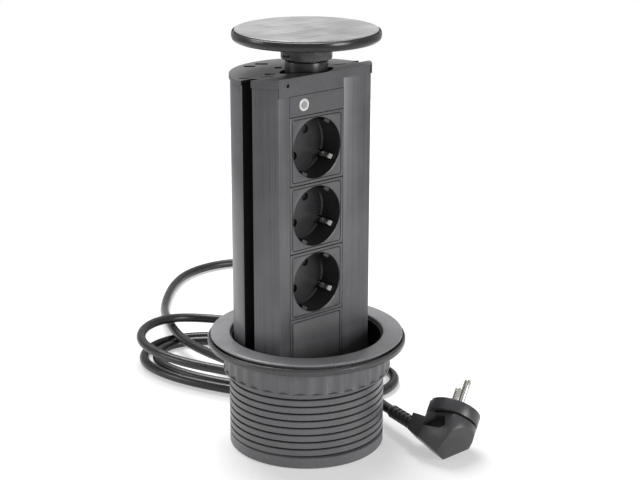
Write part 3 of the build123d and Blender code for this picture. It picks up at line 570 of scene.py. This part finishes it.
@dataclass
class DeskSleeve:
    """Threaded sleeve, flange, guide keys, clamp washer and lock nut."""

    crest_radius: float = 52.0
    root_radius: float = 50.6
    bore: float = 50.0
    height: float = 75.0
    pitch: float = 5.0
    crest_width: float = 3.8
    thread_low: float = 8.0
    thread_turns: int = 12
    notch_turn: float = 74.45
    notch_depth: float = 12.0
    notch_width: float = 15.0
    notch_height: float = 17.0
    back_turn: float = 49.4
    thread_sink: float = 0.3
    thread_lead_in: float = 1.3
    thread_steps: int = 144
    lobes: int = 32
    lobe_sides: int = 12
    lobe_depth: float = 1.1
    lobe_low: float = 53.9
    lobe_reach: float = 54.0

    def notch_cutter(self) -> Piece:
        """Shape a block through the wall where the cord leaves, open at the sleeve's bottom edge.

        Returns:
            The block.
        """
        middle = around((self.bore + self.crest_radius) / 2, self.notch_turn, 0.0)
        size = (self.notch_depth, self.notch_width, 2 * self.notch_height)
        return block(middle, size, self.notch_turn)

    def sleeve(self) -> None:
        """The tube with its plain foot band, and the flat crested thread round it."""
        tube = turned(
            "sleeve_tube",
            [
                (self.bore, 0), (self.crest_radius - 0.5, 0), (self.crest_radius, 0.5),
                (self.crest_radius, self.thread_low - 0.6), (self.root_radius, self.thread_low),
                (self.root_radius, self.height), (self.bore, self.height), (self.bore, 0),
            ],
            FINE_SIDES,
        )
        carve(tube, self.notch_cutter())
        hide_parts("threaded_sleeve")
        # Painted light: the sleeve's ABS is drawn paler to stand in for the light on its front.
        complete(tube, 0.0, 25.0, LIT_ABS_THREAD, "base")
        # Painted shade: the bore and the thread's roots above the foot band are drawn nearly black.
        deep, low = (self.root_radius + 0.1) * MM, self.thread_low * MM
        second_finish(tube, PAINTED_SHADE, lambda centre, normal: centre.xy.length < deep and centre.z > low)
        self.thread()

    def thread(self) -> None:
        """The thread's crest, one closed strip wound right-handed up the tube."""
        deep, wide = self.crest_radius - self.root_radius + self.thread_sink, self.crest_width
        start = self.root_radius - self.thread_sink
        section = [
            (start, 0.0), (start + deep - 0.25, 0.0), (start + deep, 0.3),
            (start + deep, wide - 0.3), (start + deep - 0.25, wide), (start, wide),
        ]
        bpy.ops.mesh.primitive_circle_add(vertices=len(section), radius=1.0, fill_type="NOTHING")
        strip = bpy.context.object
        for vertex, (radius, high) in zip(strip.data.vertices, section):
            vertex.co = (radius * MM, 0, (self.thread_low - self.thread_lead_in + high) * MM)
        screw = strip.modifiers.new("winding", "SCREW")
        screw.angle = math.tau
        screw.screw_offset = self.pitch * MM
        screw.iterations = self.thread_turns
        screw.steps = self.thread_steps
        screw.render_steps = self.thread_steps
        screw.use_merge_vertices = False
        screw.use_smooth_shade = False
        apply_modifiers(strip)
        bpy.ops.object.mode_set(mode="EDIT")
        bpy.ops.mesh.select_all(action="SELECT")
        bpy.ops.mesh.fill_holes(sides=len(section))
        close_mesh()
        strip.rotation_euler = (0, 0, math.radians(self.back_turn))
        settle(strip, "sleeve_thread")
        carve(strip, self.notch_cutter())
        # Painted light: the thread's ABS is drawn paler to stand in for the light on its front.
        complete(strip, 0.0, 25.0, LIT_ABS_THREAD, "base")

    def flange(self) -> None:
        """The wide flange: a top plate let into a rim, with a dark seam between them."""
        rim = turned(
            "flange_rim",
            [
                (52.0, 70.0), (64.6, 70.0), (65.9, 70.7), (66.3, 71.8), (66.3, 74.0),
                (65.7, 75.0), (65.2, 75.3), (64.9, 75.0), (64.7, 73.4), (52.0, 73.4),
                (52.0, 70.0),
            ],
        )
        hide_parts("mounting_flange")
        complete(rim, 0.15, 30.0, FLANGE_PAINT, "base")
        plate = turned(
            "flange_plate",
            [
                (51.1, 73.4), (61.0, 73.4), (62.6, 75.9), (63.9, 76.3), (64.3, 76.8),
                (64.2, 77.4), (63.7, 77.8), (62.9, 78.0), (52.4, 78.0), (51.6, 77.8),
                (51.2, 77.3), (51.1, 76.8), (51.1, 73.4),
            ],
        )
        # Painted sheen: the top plate's paint is drawn paler than the rim's.
        complete(plate, 0.0, 40.0, FLANGE_TOP_SHEEN, "base")

    def nut(self) -> None:
        """The lock nut: a plain foot and a band of soft finger lobes."""
        nut = turned(
            "nut_lobed",
            [
                (52.3, 52.0), (55.4, 52.0), (55.8, 52.4), (55.8, 53.3), (55.6, 53.6),
                (55.6, 54.0), (55.6, 67.9), (55.1, 68.5), (52.3, 68.5), (52.3, 52.0),
            ],
            self.lobes * self.lobe_sides,
        )
        for vertex in nut.data.vertices:
            reach = vertex.co.xy.length
            if vertex.co.z < self.lobe_low * MM or reach < self.lobe_reach * MM:
                continue
            turn = math.atan2(vertex.co.y, vertex.co.x)
            share = 1 - self.lobe_depth * MM * (1 + math.cos(self.lobes * turn)) / 2 / reach
            vertex.co.x *= share
            vertex.co.y *= share
        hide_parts("lock_nut")
        complete(nut, 0.0, 30.0, ABS_NUT, "lock_nut")

    def clamp(self) -> None:
        """Lock nut and washer, and the keys that guide the tower."""
        self.nut()
        dress(from_node("clamp_washer", "washer_plate", 0.15), ZINC, "clamp_washer")
        keys = [(f"guide_key_{side}", f"key_{side}", 0.3, ABS) for side in ("left", "right")]
        dress_nodes(keys, "base")

    def build(self) -> None:
        """Make every piece that stays in the desk."""
        self.sleeve()
        self.flange()
        self.clamp()


@dataclass
class Tower:
    """Extruded shell, end caps and what is inside them."""

    body: str = "tower"
    slot_turn: float = -41.0
    # Across, along and length of each vent slot.
    slots: tuple[Point, ...] = (
        (-4.0, 40.6, 8.0), (-31.2, 1.6, 8.0), (29.2, 2.2, 9.0), (-14.8, 39.7, 7.0),
        (-3.8, 23.9, 4.6), (-21.0, 11.2, 6.5),
    )
    slot_width: float = 4.2
    slot_depth: float = 4.0
    slot_height: float = 253.0
    slot_floor: float = 251.05
    groove_floor: float = 40.0
    groove_mouth: float = 48.3
    groove_width: float = 10.2
    notch_middle: float = 46.8
    notch_height: float = 252.0
    notch_size: Point = (12.0, 9.6, 12.0)

    def neck_cup(self) -> None:
        """The cup that guides the neck, with the hollow post that carries the spring."""
        cup = turned(
            "neck_cup",
            [
                (9.0, 229.5), (18.4, 229.5), (18.4, 250.2), (17.3, 250.2), (17.3, 244.8),
                (14.3, 244.8), (14.3, 231.0), (10.7, 231.0), (10.7, 255.0), (9.0, 255.0),
                (9.0, 229.5),
            ],
            128,
        )
        carve(cup, block((0.0, -26.1, 240.0), (60.0, 20.0, 60.0)))
        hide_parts("neck_guide")
        complete(cup, 0.0, 30.0, INNER, self.body)

    def end_cap(self) -> None:
        """The top end cap, with its guide notches and its open vent slots."""
        top = from_node("top_end_cap", "end_cap_top", 0.0, 20.0)
        for side in (-1, 1):
            carve(top, block((side * self.notch_middle, 0.0, self.notch_height), self.notch_size))
        for across, along, length in self.slots:
            size = (length, self.slot_width, self.slot_depth)
            carve(top, block((across, along, self.slot_height), size, self.slot_turn))
        complete(top, 0.0, 20.0, END_CAP, self.body)
        # Painted shade: the vent slots, the guide notches and the neck's recess are drawn nearly black.
        second_finish(top, PAINTED_SHADE, self.in_slot)

    def in_slot(self, centre: Vector, normal: Vector) -> bool:
        """Whether a face of the top end cap belongs to a vent slot or the neck's recess.

        Args:
            centre: The face's centre.
            normal: Its direction.

        Returns:
            True inside a slot or the recess.
        """
        reach = centre.xy.length
        if abs(normal.z) >= 0.5:
            return abs(centre.z - self.slot_floor * MM) < 0.1 * MM and normal.z > 0.9
        in_recess = reach < 17.4 * MM
        in_notch = abs(centre.y) < 4.9 * MM and abs(centre.x) > 40.0 * MM and reach < 48.5 * MM
        in_vent = reach < 46.5 * MM and centre.y > -4 * MM and centre.z > 250.8 * MM
        return in_recess or in_notch or in_vent

    def build(self) -> None:
        """Make the shell and its caps."""
        shell = dress(from_node("tower_profile", "shell_extrusion", 0.35), EXTRUSION, self.body)
        # Painted shade: the faces of the guide grooves are drawn nearly black.
        low, high, half = self.groove_floor * MM, self.groove_mouth * MM, self.groove_width / 2 * MM
        second_finish(
            shell, GROOVE_SHADOW, lambda centre, normal: abs(centre.y) < half and low < abs(centre.x) < high
        )
        self.end_cap()
        dress(from_node("bottom_end_cap", "end_cap_foot", 0.3), ABS, self.body)
        self.neck_cup()
        rows = [
            ("cord_gland", "gland_sleeve", 0.3, PLUG_SKIN),
            ("end_cap_screws", "foot_screws", 0.1, ZINC),
            ("cord_clamp", "clamp_block", 0.3, INNER),
            ("inner_wires", "wires_inside", 0.0, WIRE),
        ]
        bars = ("live_busbar", "neutral_busbar", "earth_busbar")
        rows += [(node, f"{node}_strip", 0.1, BRASS) for node in bars]
        dress_nodes(rows, self.body)


@dataclass
class SprungCap:
    """The round cap, its neck and its spring."""

    body: str = "cap"
    window_turn: float = 139.4
    window_size: Point = (4.2, 60.0, 2.2)

    def neck(self) -> None:
        """The collar with its side window, and the plunger below it."""
        collar = turned(
            "collar_ring",
            [
                (11.0, 262.4), (16.1, 262.4), (16.5, 262.8), (16.5, 273.6), (16.1, 274.0),
                (11.0, 274.0), (11.0, 262.4),
            ],
            MID_SIDES,
        )
        carve(collar, block(around(12.8, self.window_turn, 265.3), self.window_size, self.window_turn))
        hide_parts("neck_collar")
        complete(collar, 0.15, 30.0, COLLAR, self.body)
        plunger = turned(
            "plunger_tube",
            [
                (11.0, 249.0), (14.0, 249.0), (14.0, 260.9), (13.7, 261.2), (11.6, 261.2),
                (11.6, 262.4), (11.0, 262.4), (11.0, 249.0),
            ],
            MID_SIDES,
        )
        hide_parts("neck_plunger")
        complete(plunger, 0.1, 30.0, RIM, self.body)

    def build(self) -> None:
        """Make the cap with its brushed plate, rounded rim and neck."""
        shell = turned(
            "cap_rim",
            [
                (18.0, 274.0), (44.6, 274.0), (46.2, 274.35), (47.2, 275.2), (47.7, 276.5),
                (47.8, 278.0), (47.7, 279.3), (47.4, 280.0), (47.0, 280.2), (46.8, 280.0),
                (46.7, 279.2), (18.0, 279.2), (18.0, 274.0),
            ],
            FINE_SIDES,
        )
        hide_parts("cap_shell")
        complete(shell, 0.0, 40.0, CAP_RIM, self.body)
        plate = turned(
            "cap_top",
            [
                (0.001, 279.2), (45.6, 279.2), (46.0, 280.2),
                (46.0, 280.7), (45.7, 281.0), (0.001, 281.0),
            ],
            FINE_SIDES,
        )
        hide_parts("cap_plate")
        complete(plate, 0.0, 30.0, BRUSHED_CAP, self.body)
        self.neck()
        spring = from_node("cap_spring", "spring_wire", 0.0, 60.0)
        spring.data.materials.clear()
        spring.data.materials.append(SPRING.build())
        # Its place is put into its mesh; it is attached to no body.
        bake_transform(spring)


@dataclass
class SocketColumn:
    """Three earthed socket modules, the indicator module and the blank plate."""

    centre_x: float = -7.2
    heights: tuple[float, float, float] = (118.1, 163.1, 208.1)
    front: float = 18.6
    size: float = 44.3
    plate: float = 2.2
    well: float = 19.75
    well_depth: float = 17.5
    pin_turn: float = 60.0
    pin_reach: float = 9.5
    # An earth finger's distance from the centre and depth below the face, from its root to its tip.
    clip_bow: Profile = (
        (18.6, 22.0), (18.6, 14.0), (17.6, 11.5), (16.9, 9.0), (17.2, 7.2), (18.4, 5.4),
        (19.2, 4.4),
    )
    clip_half_width: float = 1.6
    clip_thickness: float = 0.6
    lens_profile: Profile = (
        (0.001, -1.0), (4.0, -1.0), (4.0, -0.2), (3.7, 0.0), (2.6, 0.0), (2.4, -0.25), (0.001, -0.25),
    )
    lens_x: float = -10.4
    lens_height: float = 237.4
    lens_hole: float = 4.15
    indicator_middle: float = 237.25
    indicator_tall: float = 13.0
    indicator_thickness: float = 2.4
    # How far a cutter starts in front of the face.
    cutter_ahead: float = 4.0
    blank_low: float = 17.0
    blank_high: float = 95.5

    def place(self, height: float, depth: float = 0.0) -> Matrix:
        """Find a frame on the tower's front: X to the right, Y up and Z towards the viewer.

        Args:
            height: The frame's height.
            depth: How far behind the front it stands.

        Returns:
            The frame.
        """
        turn = Matrix.Rotation(math.radians(90), 4, "X")
        return Matrix.Translation(Vector((self.centre_x, -self.front + depth, height)) * MM) @ turn

    def from_point(self, centre: Vector, x: float, height: float) -> float:
        """Measure a place's distance from a point of the front, seen square on.

        Args:
            centre: The place.
            x: The point's place across the module.
            height: The point's height.

        Returns:
            The distance in metres.
        """
        return math.hypot(centre.x - (self.centre_x + x) * MM, centre.z - height * MM)

    def in_frame_groove(self, centre: Vector, normal: Vector) -> bool:
        """Whether a face of a plate is the floor of the groove that frames it.

        Args:
            centre: The face's centre.
            normal: Its direction.

        Returns:
            True on the groove's floor.
        """
        return normal.y < -0.9 and centre.y > (0.5 - self.front) * MM

    def framed_plate(self, name: str, height: float, tall: float) -> Piece:
        """A module's plate with rounded corners and the fine groove that frames it.

        Args:
            name: The piece's name.
            height: Its middle's height.
            tall: How tall it is.

        Returns:
            The plate, its front in the tower's front plane.
        """
        plate = slab(name, self.size, tall, self.plate, self.place(height, self.plate / 2))
        bpy.ops.object.mode_set(mode="EDIT")
        pick(plate, "FACE", lambda centre, normal: normal.y < -0.9)
        bpy.ops.mesh.inset(thickness=1.5 * MM)
        bpy.ops.mesh.bevel(offset=2.0 * MM, segments=5, affect="VERTICES")
        pick(
            plate,
            "FACE",
            lambda centre, normal: normal.y < -0.9 and self.from_point(centre, 0, height) < MM,
        )
        bpy.ops.mesh.inset(thickness=0.15 * MM, depth=-0.7 * MM)
        bpy.ops.mesh.inset(thickness=0.3 * MM)
        bpy.ops.mesh.inset(thickness=0.15 * MM, depth=0.7 * MM)
        bpy.ops.object.mode_set(mode="OBJECT")
        return plate

    def round_cutter(self, radius: float, x: float, y: float, height: float, deep: float) -> Piece:
        """A cylinder that runs into the tower's front, for cutting.

        Args:
            radius: Its radius.
            x: Its place across the module.
            y: Its place up the module.
            height: The module's height.
            deep: How far in it reaches.

        Returns:
            The cutter.
        """
        ahead = self.cutter_ahead
        bpy.ops.mesh.primitive_cylinder_add(
            vertices=MID_SIDES, radius=radius * MM, depth=(deep + ahead) * MM
        )
        cutter = bpy.context.object
        offset = Matrix.Translation(Vector((x, y, 0)) * MM)
        cutter.matrix_world = self.place(height, (deep - ahead) / 2) @ offset
        return settle(cutter, "round_cutter")

    def face(self, number: int, height: float) -> None:
        """One socket's face: its plate, the round well, the guide ribs and the holes in the floor.

        Args:
            number: The module's number from the bottom.
            height: Its middle's height.
        """
        plate = self.framed_plate(f"face_plate_{number}", height, self.size)
        carve(plate, self.round_cutter(self.well + 0.4, 0, 0, height, self.plate + 1))
        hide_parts(f"socket_face_{number}")
        complete(plate, 0.12, 30.0, FACES, "tower")
        # Painted shade on the floor of the groove that frames the plate.
        second_finish(plate, PAINTED_SHADE, self.in_frame_groove)
        cup = turned(
            f"well_{number}",
            [
                (self.well + 0.45, 0.0), (self.well + 0.1, -0.15), (self.well, -0.5),
                (self.well, -self.well_depth + 0.8), (self.well - 0.8, -self.well_depth),
                (0.001, -self.well_depth), (0.001, -self.well_depth - 1.6),
                (self.well + 1.4, -self.well_depth - 1.6), (self.well + 1.4, -self.plate),
                (self.well + 0.45, -self.plate), (self.well + 0.45, 0.0),
            ],
            MID_SIDES,
        )
        cup.matrix_world = self.place(height)
        settle(cup, f"well_{number}")
        turn = math.radians(self.pin_turn)
        clip_turn = turn - math.pi / 2
        for side in (-1, 1):
            x, y = side * self.pin_reach * math.cos(turn), side * self.pin_reach * math.sin(turn)
            carve(cup, self.round_cutter(2.8, x, y, height, self.well_depth + 4))
        for side in (-1, 1):
            rib = self.bar(side, turn, self.well - 0.6, (3.0, 4.5), height, (1.2, 15.5))
            carve(cup, rib, "UNION")
            gap = self.bar(side, clip_turn, self.well - 1.1, (2.4, 6.0), height, (-1.0, 19.0))
            carve(cup, gap)
        complete(cup, 0.0, 30.0, WELL, "tower")
        self.earth_clip(number, height, clip_turn)

    def bar(
        self, side: int, turn: float, reach: float, size: Pair, height: float, span: Pair
    ) -> Piece:
        """A block along a well's wall.

        Args:
            side: 1, or -1 for the opposite side.
            turn: The direction from the well's centre, in radians.
            reach: The block's middle's distance from the centre.
            size: Its size along that direction and across it.
            height: The module's height.
            span: How far below the face it starts and ends.

        Returns:
            The block.
        """
        (deep, wide), (high, low) = size, span
        bpy.ops.mesh.primitive_cube_add(size=1.0)
        bar = bpy.context.object
        bar.matrix_world = (
            self.place(height)
            @ Matrix.Rotation(turn, 4, "Z")
            @ Matrix.Translation(Vector((side * reach, 0, -(high + low) / 2)) * MM)
            @ Matrix.Diagonal(Vector((deep * MM, wide * MM, (low - high) * MM, 1)))
        )
        return settle(bar, "bar")

    def earth_clip(self, number: int, height: float, turn: float) -> None:
        """Two sprung earth fingers that bow into the well.

        Args:
            number: The module's number from the bottom.
            height: Its middle's height.
            turn: The fingers' direction from the well's centre, in radians.
        """
        bow = self.clip_bow
        halves = []
        for side in (-1, 1):
            bpy.ops.mesh.primitive_plane_add(size=1.0)
            strip = bpy.context.object
            for vertex in strip.data.vertices:
                end = bow[0] if vertex.co.x < 0 else bow[1]
                beside = math.copysign(self.clip_half_width * MM, vertex.co.y)
                vertex.co = (side * end[0] * MM, beside, -end[1] * MM)
            bpy.ops.object.mode_set(mode="EDIT")
            tip = Vector((side * bow[1][0], 0, -bow[1][1])) * MM
            pick(strip, "EDGE", lambda centre, way, tip=tip: (centre - tip).length < 0.1 * MM)
            for before, after in zip(bow[1:], bow[2:]):
                step = Vector((side * (after[0] - before[0]), 0, -(after[1] - before[1]))) * MM
                bpy.ops.mesh.extrude_region_move(TRANSFORM_OT_translate={"value": step})
            bpy.ops.object.mode_set(mode="OBJECT")
            thick = strip.modifiers.new("sheet", "SOLIDIFY")
            thick.thickness = self.clip_thickness * MM
            thick.offset = 0.0
            apply_modifiers(strip)
            strip.matrix_world = self.place(height) @ Matrix.Rotation(turn, 4, "Z")
            halves.append(settle(strip, f"earth_finger_{number}"))
        only(halves[0])
        halves[1].select_set(True)
        bpy.ops.object.join()
        clip = settle(halves[0], f"earth_fingers_{number}")
        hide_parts(f"earth_clip_{number}")
        complete(clip, 0.1, 40.0, NICKEL, "tower")

    def indicator(self) -> None:
        """The narrow module with its round lens, and the lens itself."""
        thick, tall = self.indicator_thickness, self.indicator_tall
        frame = self.place(self.indicator_middle, thick / 2)
        plate = slab("indicator_plate", self.size, tall, thick, frame)
        hole = self.round_cutter(self.lens_hole, self.lens_x, 0, self.lens_height, thick / 2)
        carve(plate, hole)
        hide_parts("indicator_module")
        complete(plate, 0.0, 30.0, FACES, "tower")
        lens = turned("lens_dome", self.lens_profile, 48)
        offset = Matrix.Translation(Vector((self.lens_x, 0, 0)) * MM)
        lens.matrix_world = self.place(self.lens_height) @ offset
        settle(lens, "lens_dome")
        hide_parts("indicator_lens")
        complete(lens, 0.0, 40.0, LENS, "tower")
        second_finish(
            lens,
            LENS_CORE,
            lambda centre, normal: self.from_point(centre, self.lens_x, self.lens_height) < 1.6 * MM,
        )

    def blank(self) -> None:
        """The plate that closes the column below the sockets."""
        low, high = self.blank_low, self.blank_high
        plate = self.framed_plate("blank_cover", (low + high) / 2, high - low)
        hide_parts("blank_plate")
        complete(plate, 0.12, 30.0, FACES, "tower")
        # Painted shade on the floor of the groove that frames the plate.
        second_finish(plate, PAINTED_SHADE, self.in_frame_groove)

    def build(self) -> None:
        """Make the column of modules."""
        for number, height in enumerate(self.heights, start=1):
            self.face(number, height)
            dress(from_node(f"socket_body_{number}", f"rear_body_{number}", 0.0), INNER, "tower")
            dress(from_node(f"pin_contacts_{number}", f"contact_tubes_{number}", 0.0), BRASS, "tower")
            shutter = f"shutter_{number}"
            dress(from_node(shutter, f"shutter_disc_{number}", 0.1), INNER, shutter)
        self.indicator()
        self.blank()


@dataclass
class MainsCord:
    """The free cord: out of the foot, a wide loop behind, a loose coil, and back to the plug."""

    diameter: float = 7.0
    coil_turn: float = -61.5
    ground: Point = (56.2, 107.2, 0.0)
    raised: Point = (56.5, 112.2, 0.0)
    swell: float = 1.012
    # Below 1, the turns are fuller than an ellipse.
    fullness: float = 0.86
    steps: int = 4
    lead: tuple[Point, ...] = (
        (16.08, 57.80, 11.0), (18.50, 66.47, 11.0), (22.8, 80.5, 11.8), (26.8, 102.1, 11.5),
        (27.2, 124.1, 11.0), (25.4, 148.1, 11.0), (25.7, 171.5, 11.5), (31.7, 194.0, 11.5),
        (40.7, 215.2, 11.5), (53.2, 237.5, 8.0), (68.3, 261.3, 4.0), (89.1, 285.7, 3.5),
        (111.6, 307.3, 3.5), (137.9, 324.2, 3.5), (170.2, 328.1, 3.5), (201.7, 315.7, 3.5),
        (226.5, 287.8, 3.5), (233.6, 251.5, 3.5), (221.1, 212.2, 3.5), (202.2, 171.8, 3.5),
        (186.6, 138.2, 3.5), (167.9, 112.1, 3.5), (148.1, 102.7, 3.5), (128.2, 103.9, 3.5),
        (111.3, 114.7, 3.5),
    )
    tail: tuple[Point, ...] = (
        (10.3, 75.7, 19.0), (22.1, 62.7, 19.0), (41.5, 45.4, 19.0), (56.2, 25.6, 17.5),
        (60.5, 2.0, 12.8), (56.3, -14.3, 12.6), (53.2, -28.0, 13.2),
    )

    def coil(self) -> list[Point]:
        """The coil's points: two and a half loose oval turns, sixteen points to a turn.

        Returns:
            The points in millimetres.
        """
        turn = math.radians(self.coil_turn)
        along = Vector((math.cos(turn), math.sin(turn), 0))
        across = Vector((-along.y, along.x, 0))
        low, up = Vector(self.ground), Vector(self.raised)
        # Centre, half size and height where each quarter starts.
        stops = (
            (low, 52.0, 3.5), (low, 102.0, 3.5), (low, 52.0, 3.5), (low, 97.0, 3.5),
            (low, 42.5, 3.5), (low, 92.0, 3.5), (low, 42.5, 3.5), (up, 92.0, 11.0),
            (up, 58.0, 11.3), (up, 100.0, 21.0), (up, 58.0, 19.0),
        )
        outward = (across, -along, -across, along)
        points = []
        for quarter, (here, there) in enumerate(zip(stops, stops[1:])):
            for step in range(self.steps):
                share = step / self.steps
                angle = math.radians(90 * share)
                eased = share * share * (3 - 2 * share)
                place = here[0].lerp(there[0], share)
                ahead, beside = math.sin(angle) ** self.fullness, math.cos(angle) ** self.fullness
                place = place + outward[quarter % 4] * here[1] * self.swell * beside
                place = place + outward[(quarter + 1) % 4] * there[1] * self.swell * ahead
                points.append((place.x, place.y, here[2] + (there[2] - here[2]) * eased))
        last = stops[-1]
        end = last[0] - across * last[1]
        points.append((end.x, end.y, last[2]))
        return points

    def build(self, plug_pieces: list[Piece]) -> None:
        """Lay the cord as one smooth line from the gland to the plug.

        Args:
            plug_pieces: The pieces on the cord's far end; not used.
        """
        route = [*self.lead, *self.coil(), *self.tail]
        curve = bpy.data.curves.new("mains_cord", "CURVE")
        curve.dimensions = "3D"
        spline = curve.splines.new("NURBS")
        spline.points.add(len(route) - 1)
        for point, place in zip(spline.points, route):
            point.co = (*(value * MM for value in place), 1.0)
        spline.order_u = 3
        spline.use_endpoint_u = True
        spline.resolution_u = 8
        curve.bevel_depth = self.diameter / 2 * MM
        curve.bevel_resolution = 6
        curve.use_fill_caps = True
        cord = bpy.data.objects.new("mains_cord", curve)
        bpy.context.scene.collection.objects.link(cord)
        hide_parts("cord_lead", "cord_coil", "cord_tail")
        dress(cord, CORD_SKIN, "tower")


@dataclass
class Plug:
    """The angled earthed plug with its ribbed strain relief."""

    origin: Point = (63.4, -78.9, 28.0)
    side_way: Point = (-0.6806, -0.0692, 0.7294)
    hollow_half_width: float = 11.5
    pieces: list[Piece] = field(default_factory=list)

    def in_hollow(self, centre: Vector, normal: Vector) -> bool:
        """Whether a face of the body is the floor of a finger hollow.

        Args:
            centre: The face's centre.
            normal: Its direction.

        Returns:
            True on the hollow's floor.
        """
        side = Vector(self.side_way)
        reach = abs((centre - Vector(self.origin) * MM).dot(side))
        return abs(normal.dot(side)) > 0.95 and abs(reach - self.hollow_half_width * MM) < 0.2 * MM

    def build(self) -> None:
        """Make the plug's pieces."""
        self.pieces = [
            dress(from_node("plug_face", "plug_ring", 0.4), PLUG_SKIN, "tower"),
            dress(from_node("plug_body", "plug_grip", 0.4), PLUG_SKIN, "tower"),
            dress(from_node("plug_pins", "pin_pair", 0.0, 60.0), NICKEL, "tower"),
            dress(from_node("plug_earth_contacts", "plug_earth_strips", 0.1), NICKEL, "tower"),
            dress(from_node("strain_relief", "relief_ribs", 0.3), PLUG_SKIN, "tower"),
        ]
        # Painted shade on the floors of the finger hollows.
        second_finish(self.pieces[1], PAINTED_SHADE, self.in_hollow)


@dataclass
class Studio:
    """Pale floor, soft light and the photograph's camera."""

    distance: float = 1.003
    camera_height: float = 0.458
    turn: float = 40.55
    pitch: float = 17.553
    focal_px: float = 1597.6
    centre_px: float = 306.5
    image_width_px: int = 640
    dome_light: float = 0.28
    mirrored_light: float = 0.50
    # Each soft box's name, place, aim, size and power.
    lamps: tuple[tuple[str, Point, Point, float, float], ...] = (
        ("sky_box", (0.25, 0.75, 1.8), (0, 0, 0.1), 1.3, 50),
        ("left_box", (-1.5, 0.9, 0.6), (0, 0, 0.15), 0.6, 6),
        ("right_box", (0.35, -1.9, 0.55), (0, 0, 0.2), 0.8, 20),
    )

    def floor(self) -> None:
        """A white sweep under the object."""
        bpy.ops.mesh.primitive_plane_add(size=1.5, location=(0, 0, -0.0005))
        floor = settle(bpy.context.object, "floor")
        material = bpy.data.materials.new("studio_floor")
        material.use_nodes = True
        tree = material.node_tree
        tree.nodes.clear()
        # Some light of its own keeps the shadows as faint as on a cut-out picture's ground.
        white = add_node(tree, "ShaderNodeBsdfDiffuse", {"Color": linear("#BEBEBE")})
        glow = add_node(tree, "ShaderNodeEmission", {"Color": linear("#FFFFFF"), "Strength": 0.45})
        both = add_node(tree, "ShaderNodeAddShader", links={0: white.outputs[0], 1: glow.outputs[0]})
        add_node(tree, "ShaderNodeOutputMaterial", links={"Surface": both.outputs[0]})
        floor.data.materials.append(material)

    def world(self) -> None:
        """A white surround in view, half as bright in reflections, and a faint dome of light."""
        world = bpy.data.worlds.new("studio")
        bpy.context.scene.world = world
        world.use_nodes = True
        tree = world.node_tree
        tree.nodes.clear()
        rays = add_node(tree, "ShaderNodeLightPath")
        seen = add_node(
            tree, "ShaderNodeMapRange", {3: self.dome_light, 4: 1.0}, {0: rays.outputs["Is Camera Ray"]}
        )
        mirrored = add_node(
            tree,
            "ShaderNodeMapRange",
            {3: 0.0, 4: self.mirrored_light - self.dome_light},
            {0: rays.outputs["Is Glossy Ray"]},
        )
        strength = add_node(
            tree, "ShaderNodeMath", {"operation": "ADD"}, {0: seen.outputs[0], 1: mirrored.outputs[0]}
        )
        light = add_node(
            tree, "ShaderNodeBackground", {"Color": (1, 1, 1, 1)}, {"Strength": strength.outputs[0]}
        )
        add_node(tree, "ShaderNodeOutputWorld", links={"Surface": light.outputs[0]})

    def light(self) -> None:
        """The square soft boxes."""
        for name, place, aim, size, watts in self.lamps:
            data = bpy.data.lights.new(name, "AREA")
            data.shape = "SQUARE"
            data.size = size
            data.energy = watts
            lamp = bpy.data.objects.new(name, data)
            lamp.location = place
            lamp.rotation_euler = (Vector(aim) - Vector(place)).to_track_quat("-Z", "Y").to_euler()
            bpy.context.scene.collection.objects.link(lamp)

    def camera(self) -> None:
        """The camera at the photograph's place, angle and framing."""
        turn = math.radians(self.turn)
        data = bpy.data.cameras.new("camera")
        data.sensor_width = 36.0
        data.lens = self.focal_px / self.image_width_px * data.sensor_width
        data.shift_x = (self.image_width_px / 2 - self.centre_px) / self.image_width_px
        data.clip_start = 0.01
        data.clip_end = 50.0
        camera = bpy.data.objects.new("camera", data)
        camera.location = (
            -self.distance * math.sin(turn),
            -self.distance * math.cos(turn),
            self.camera_height,
        )
        camera.rotation_euler = (math.radians(90 - self.pitch), 0, -turn)
        bpy.context.scene.collection.objects.link(camera)
        bpy.context.scene.camera = camera

    def build(self) -> None:
        """Set the stage."""
        self.floor()
        self.world()
        self.light()
        self.camera()
        bpy.context.scene.view_settings.view_transform = "Standard"


def main() -> None:
    """Build the object and its studio."""
    logging.basicConfig(level=logging.INFO, format="%(message)s")
    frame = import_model()
    NODES.update({name: obj.name for name, obj in frame["nodes"].items()})
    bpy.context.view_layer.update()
    Studio().build()
    plug = Plug()
    plug.build()
    MainsCord().build(plug.pieces)
    DeskSleeve().build()
    Tower().build()
    SprungCap().build()
    SocketColumn().build()


if __name__ == "__main__":
    main()
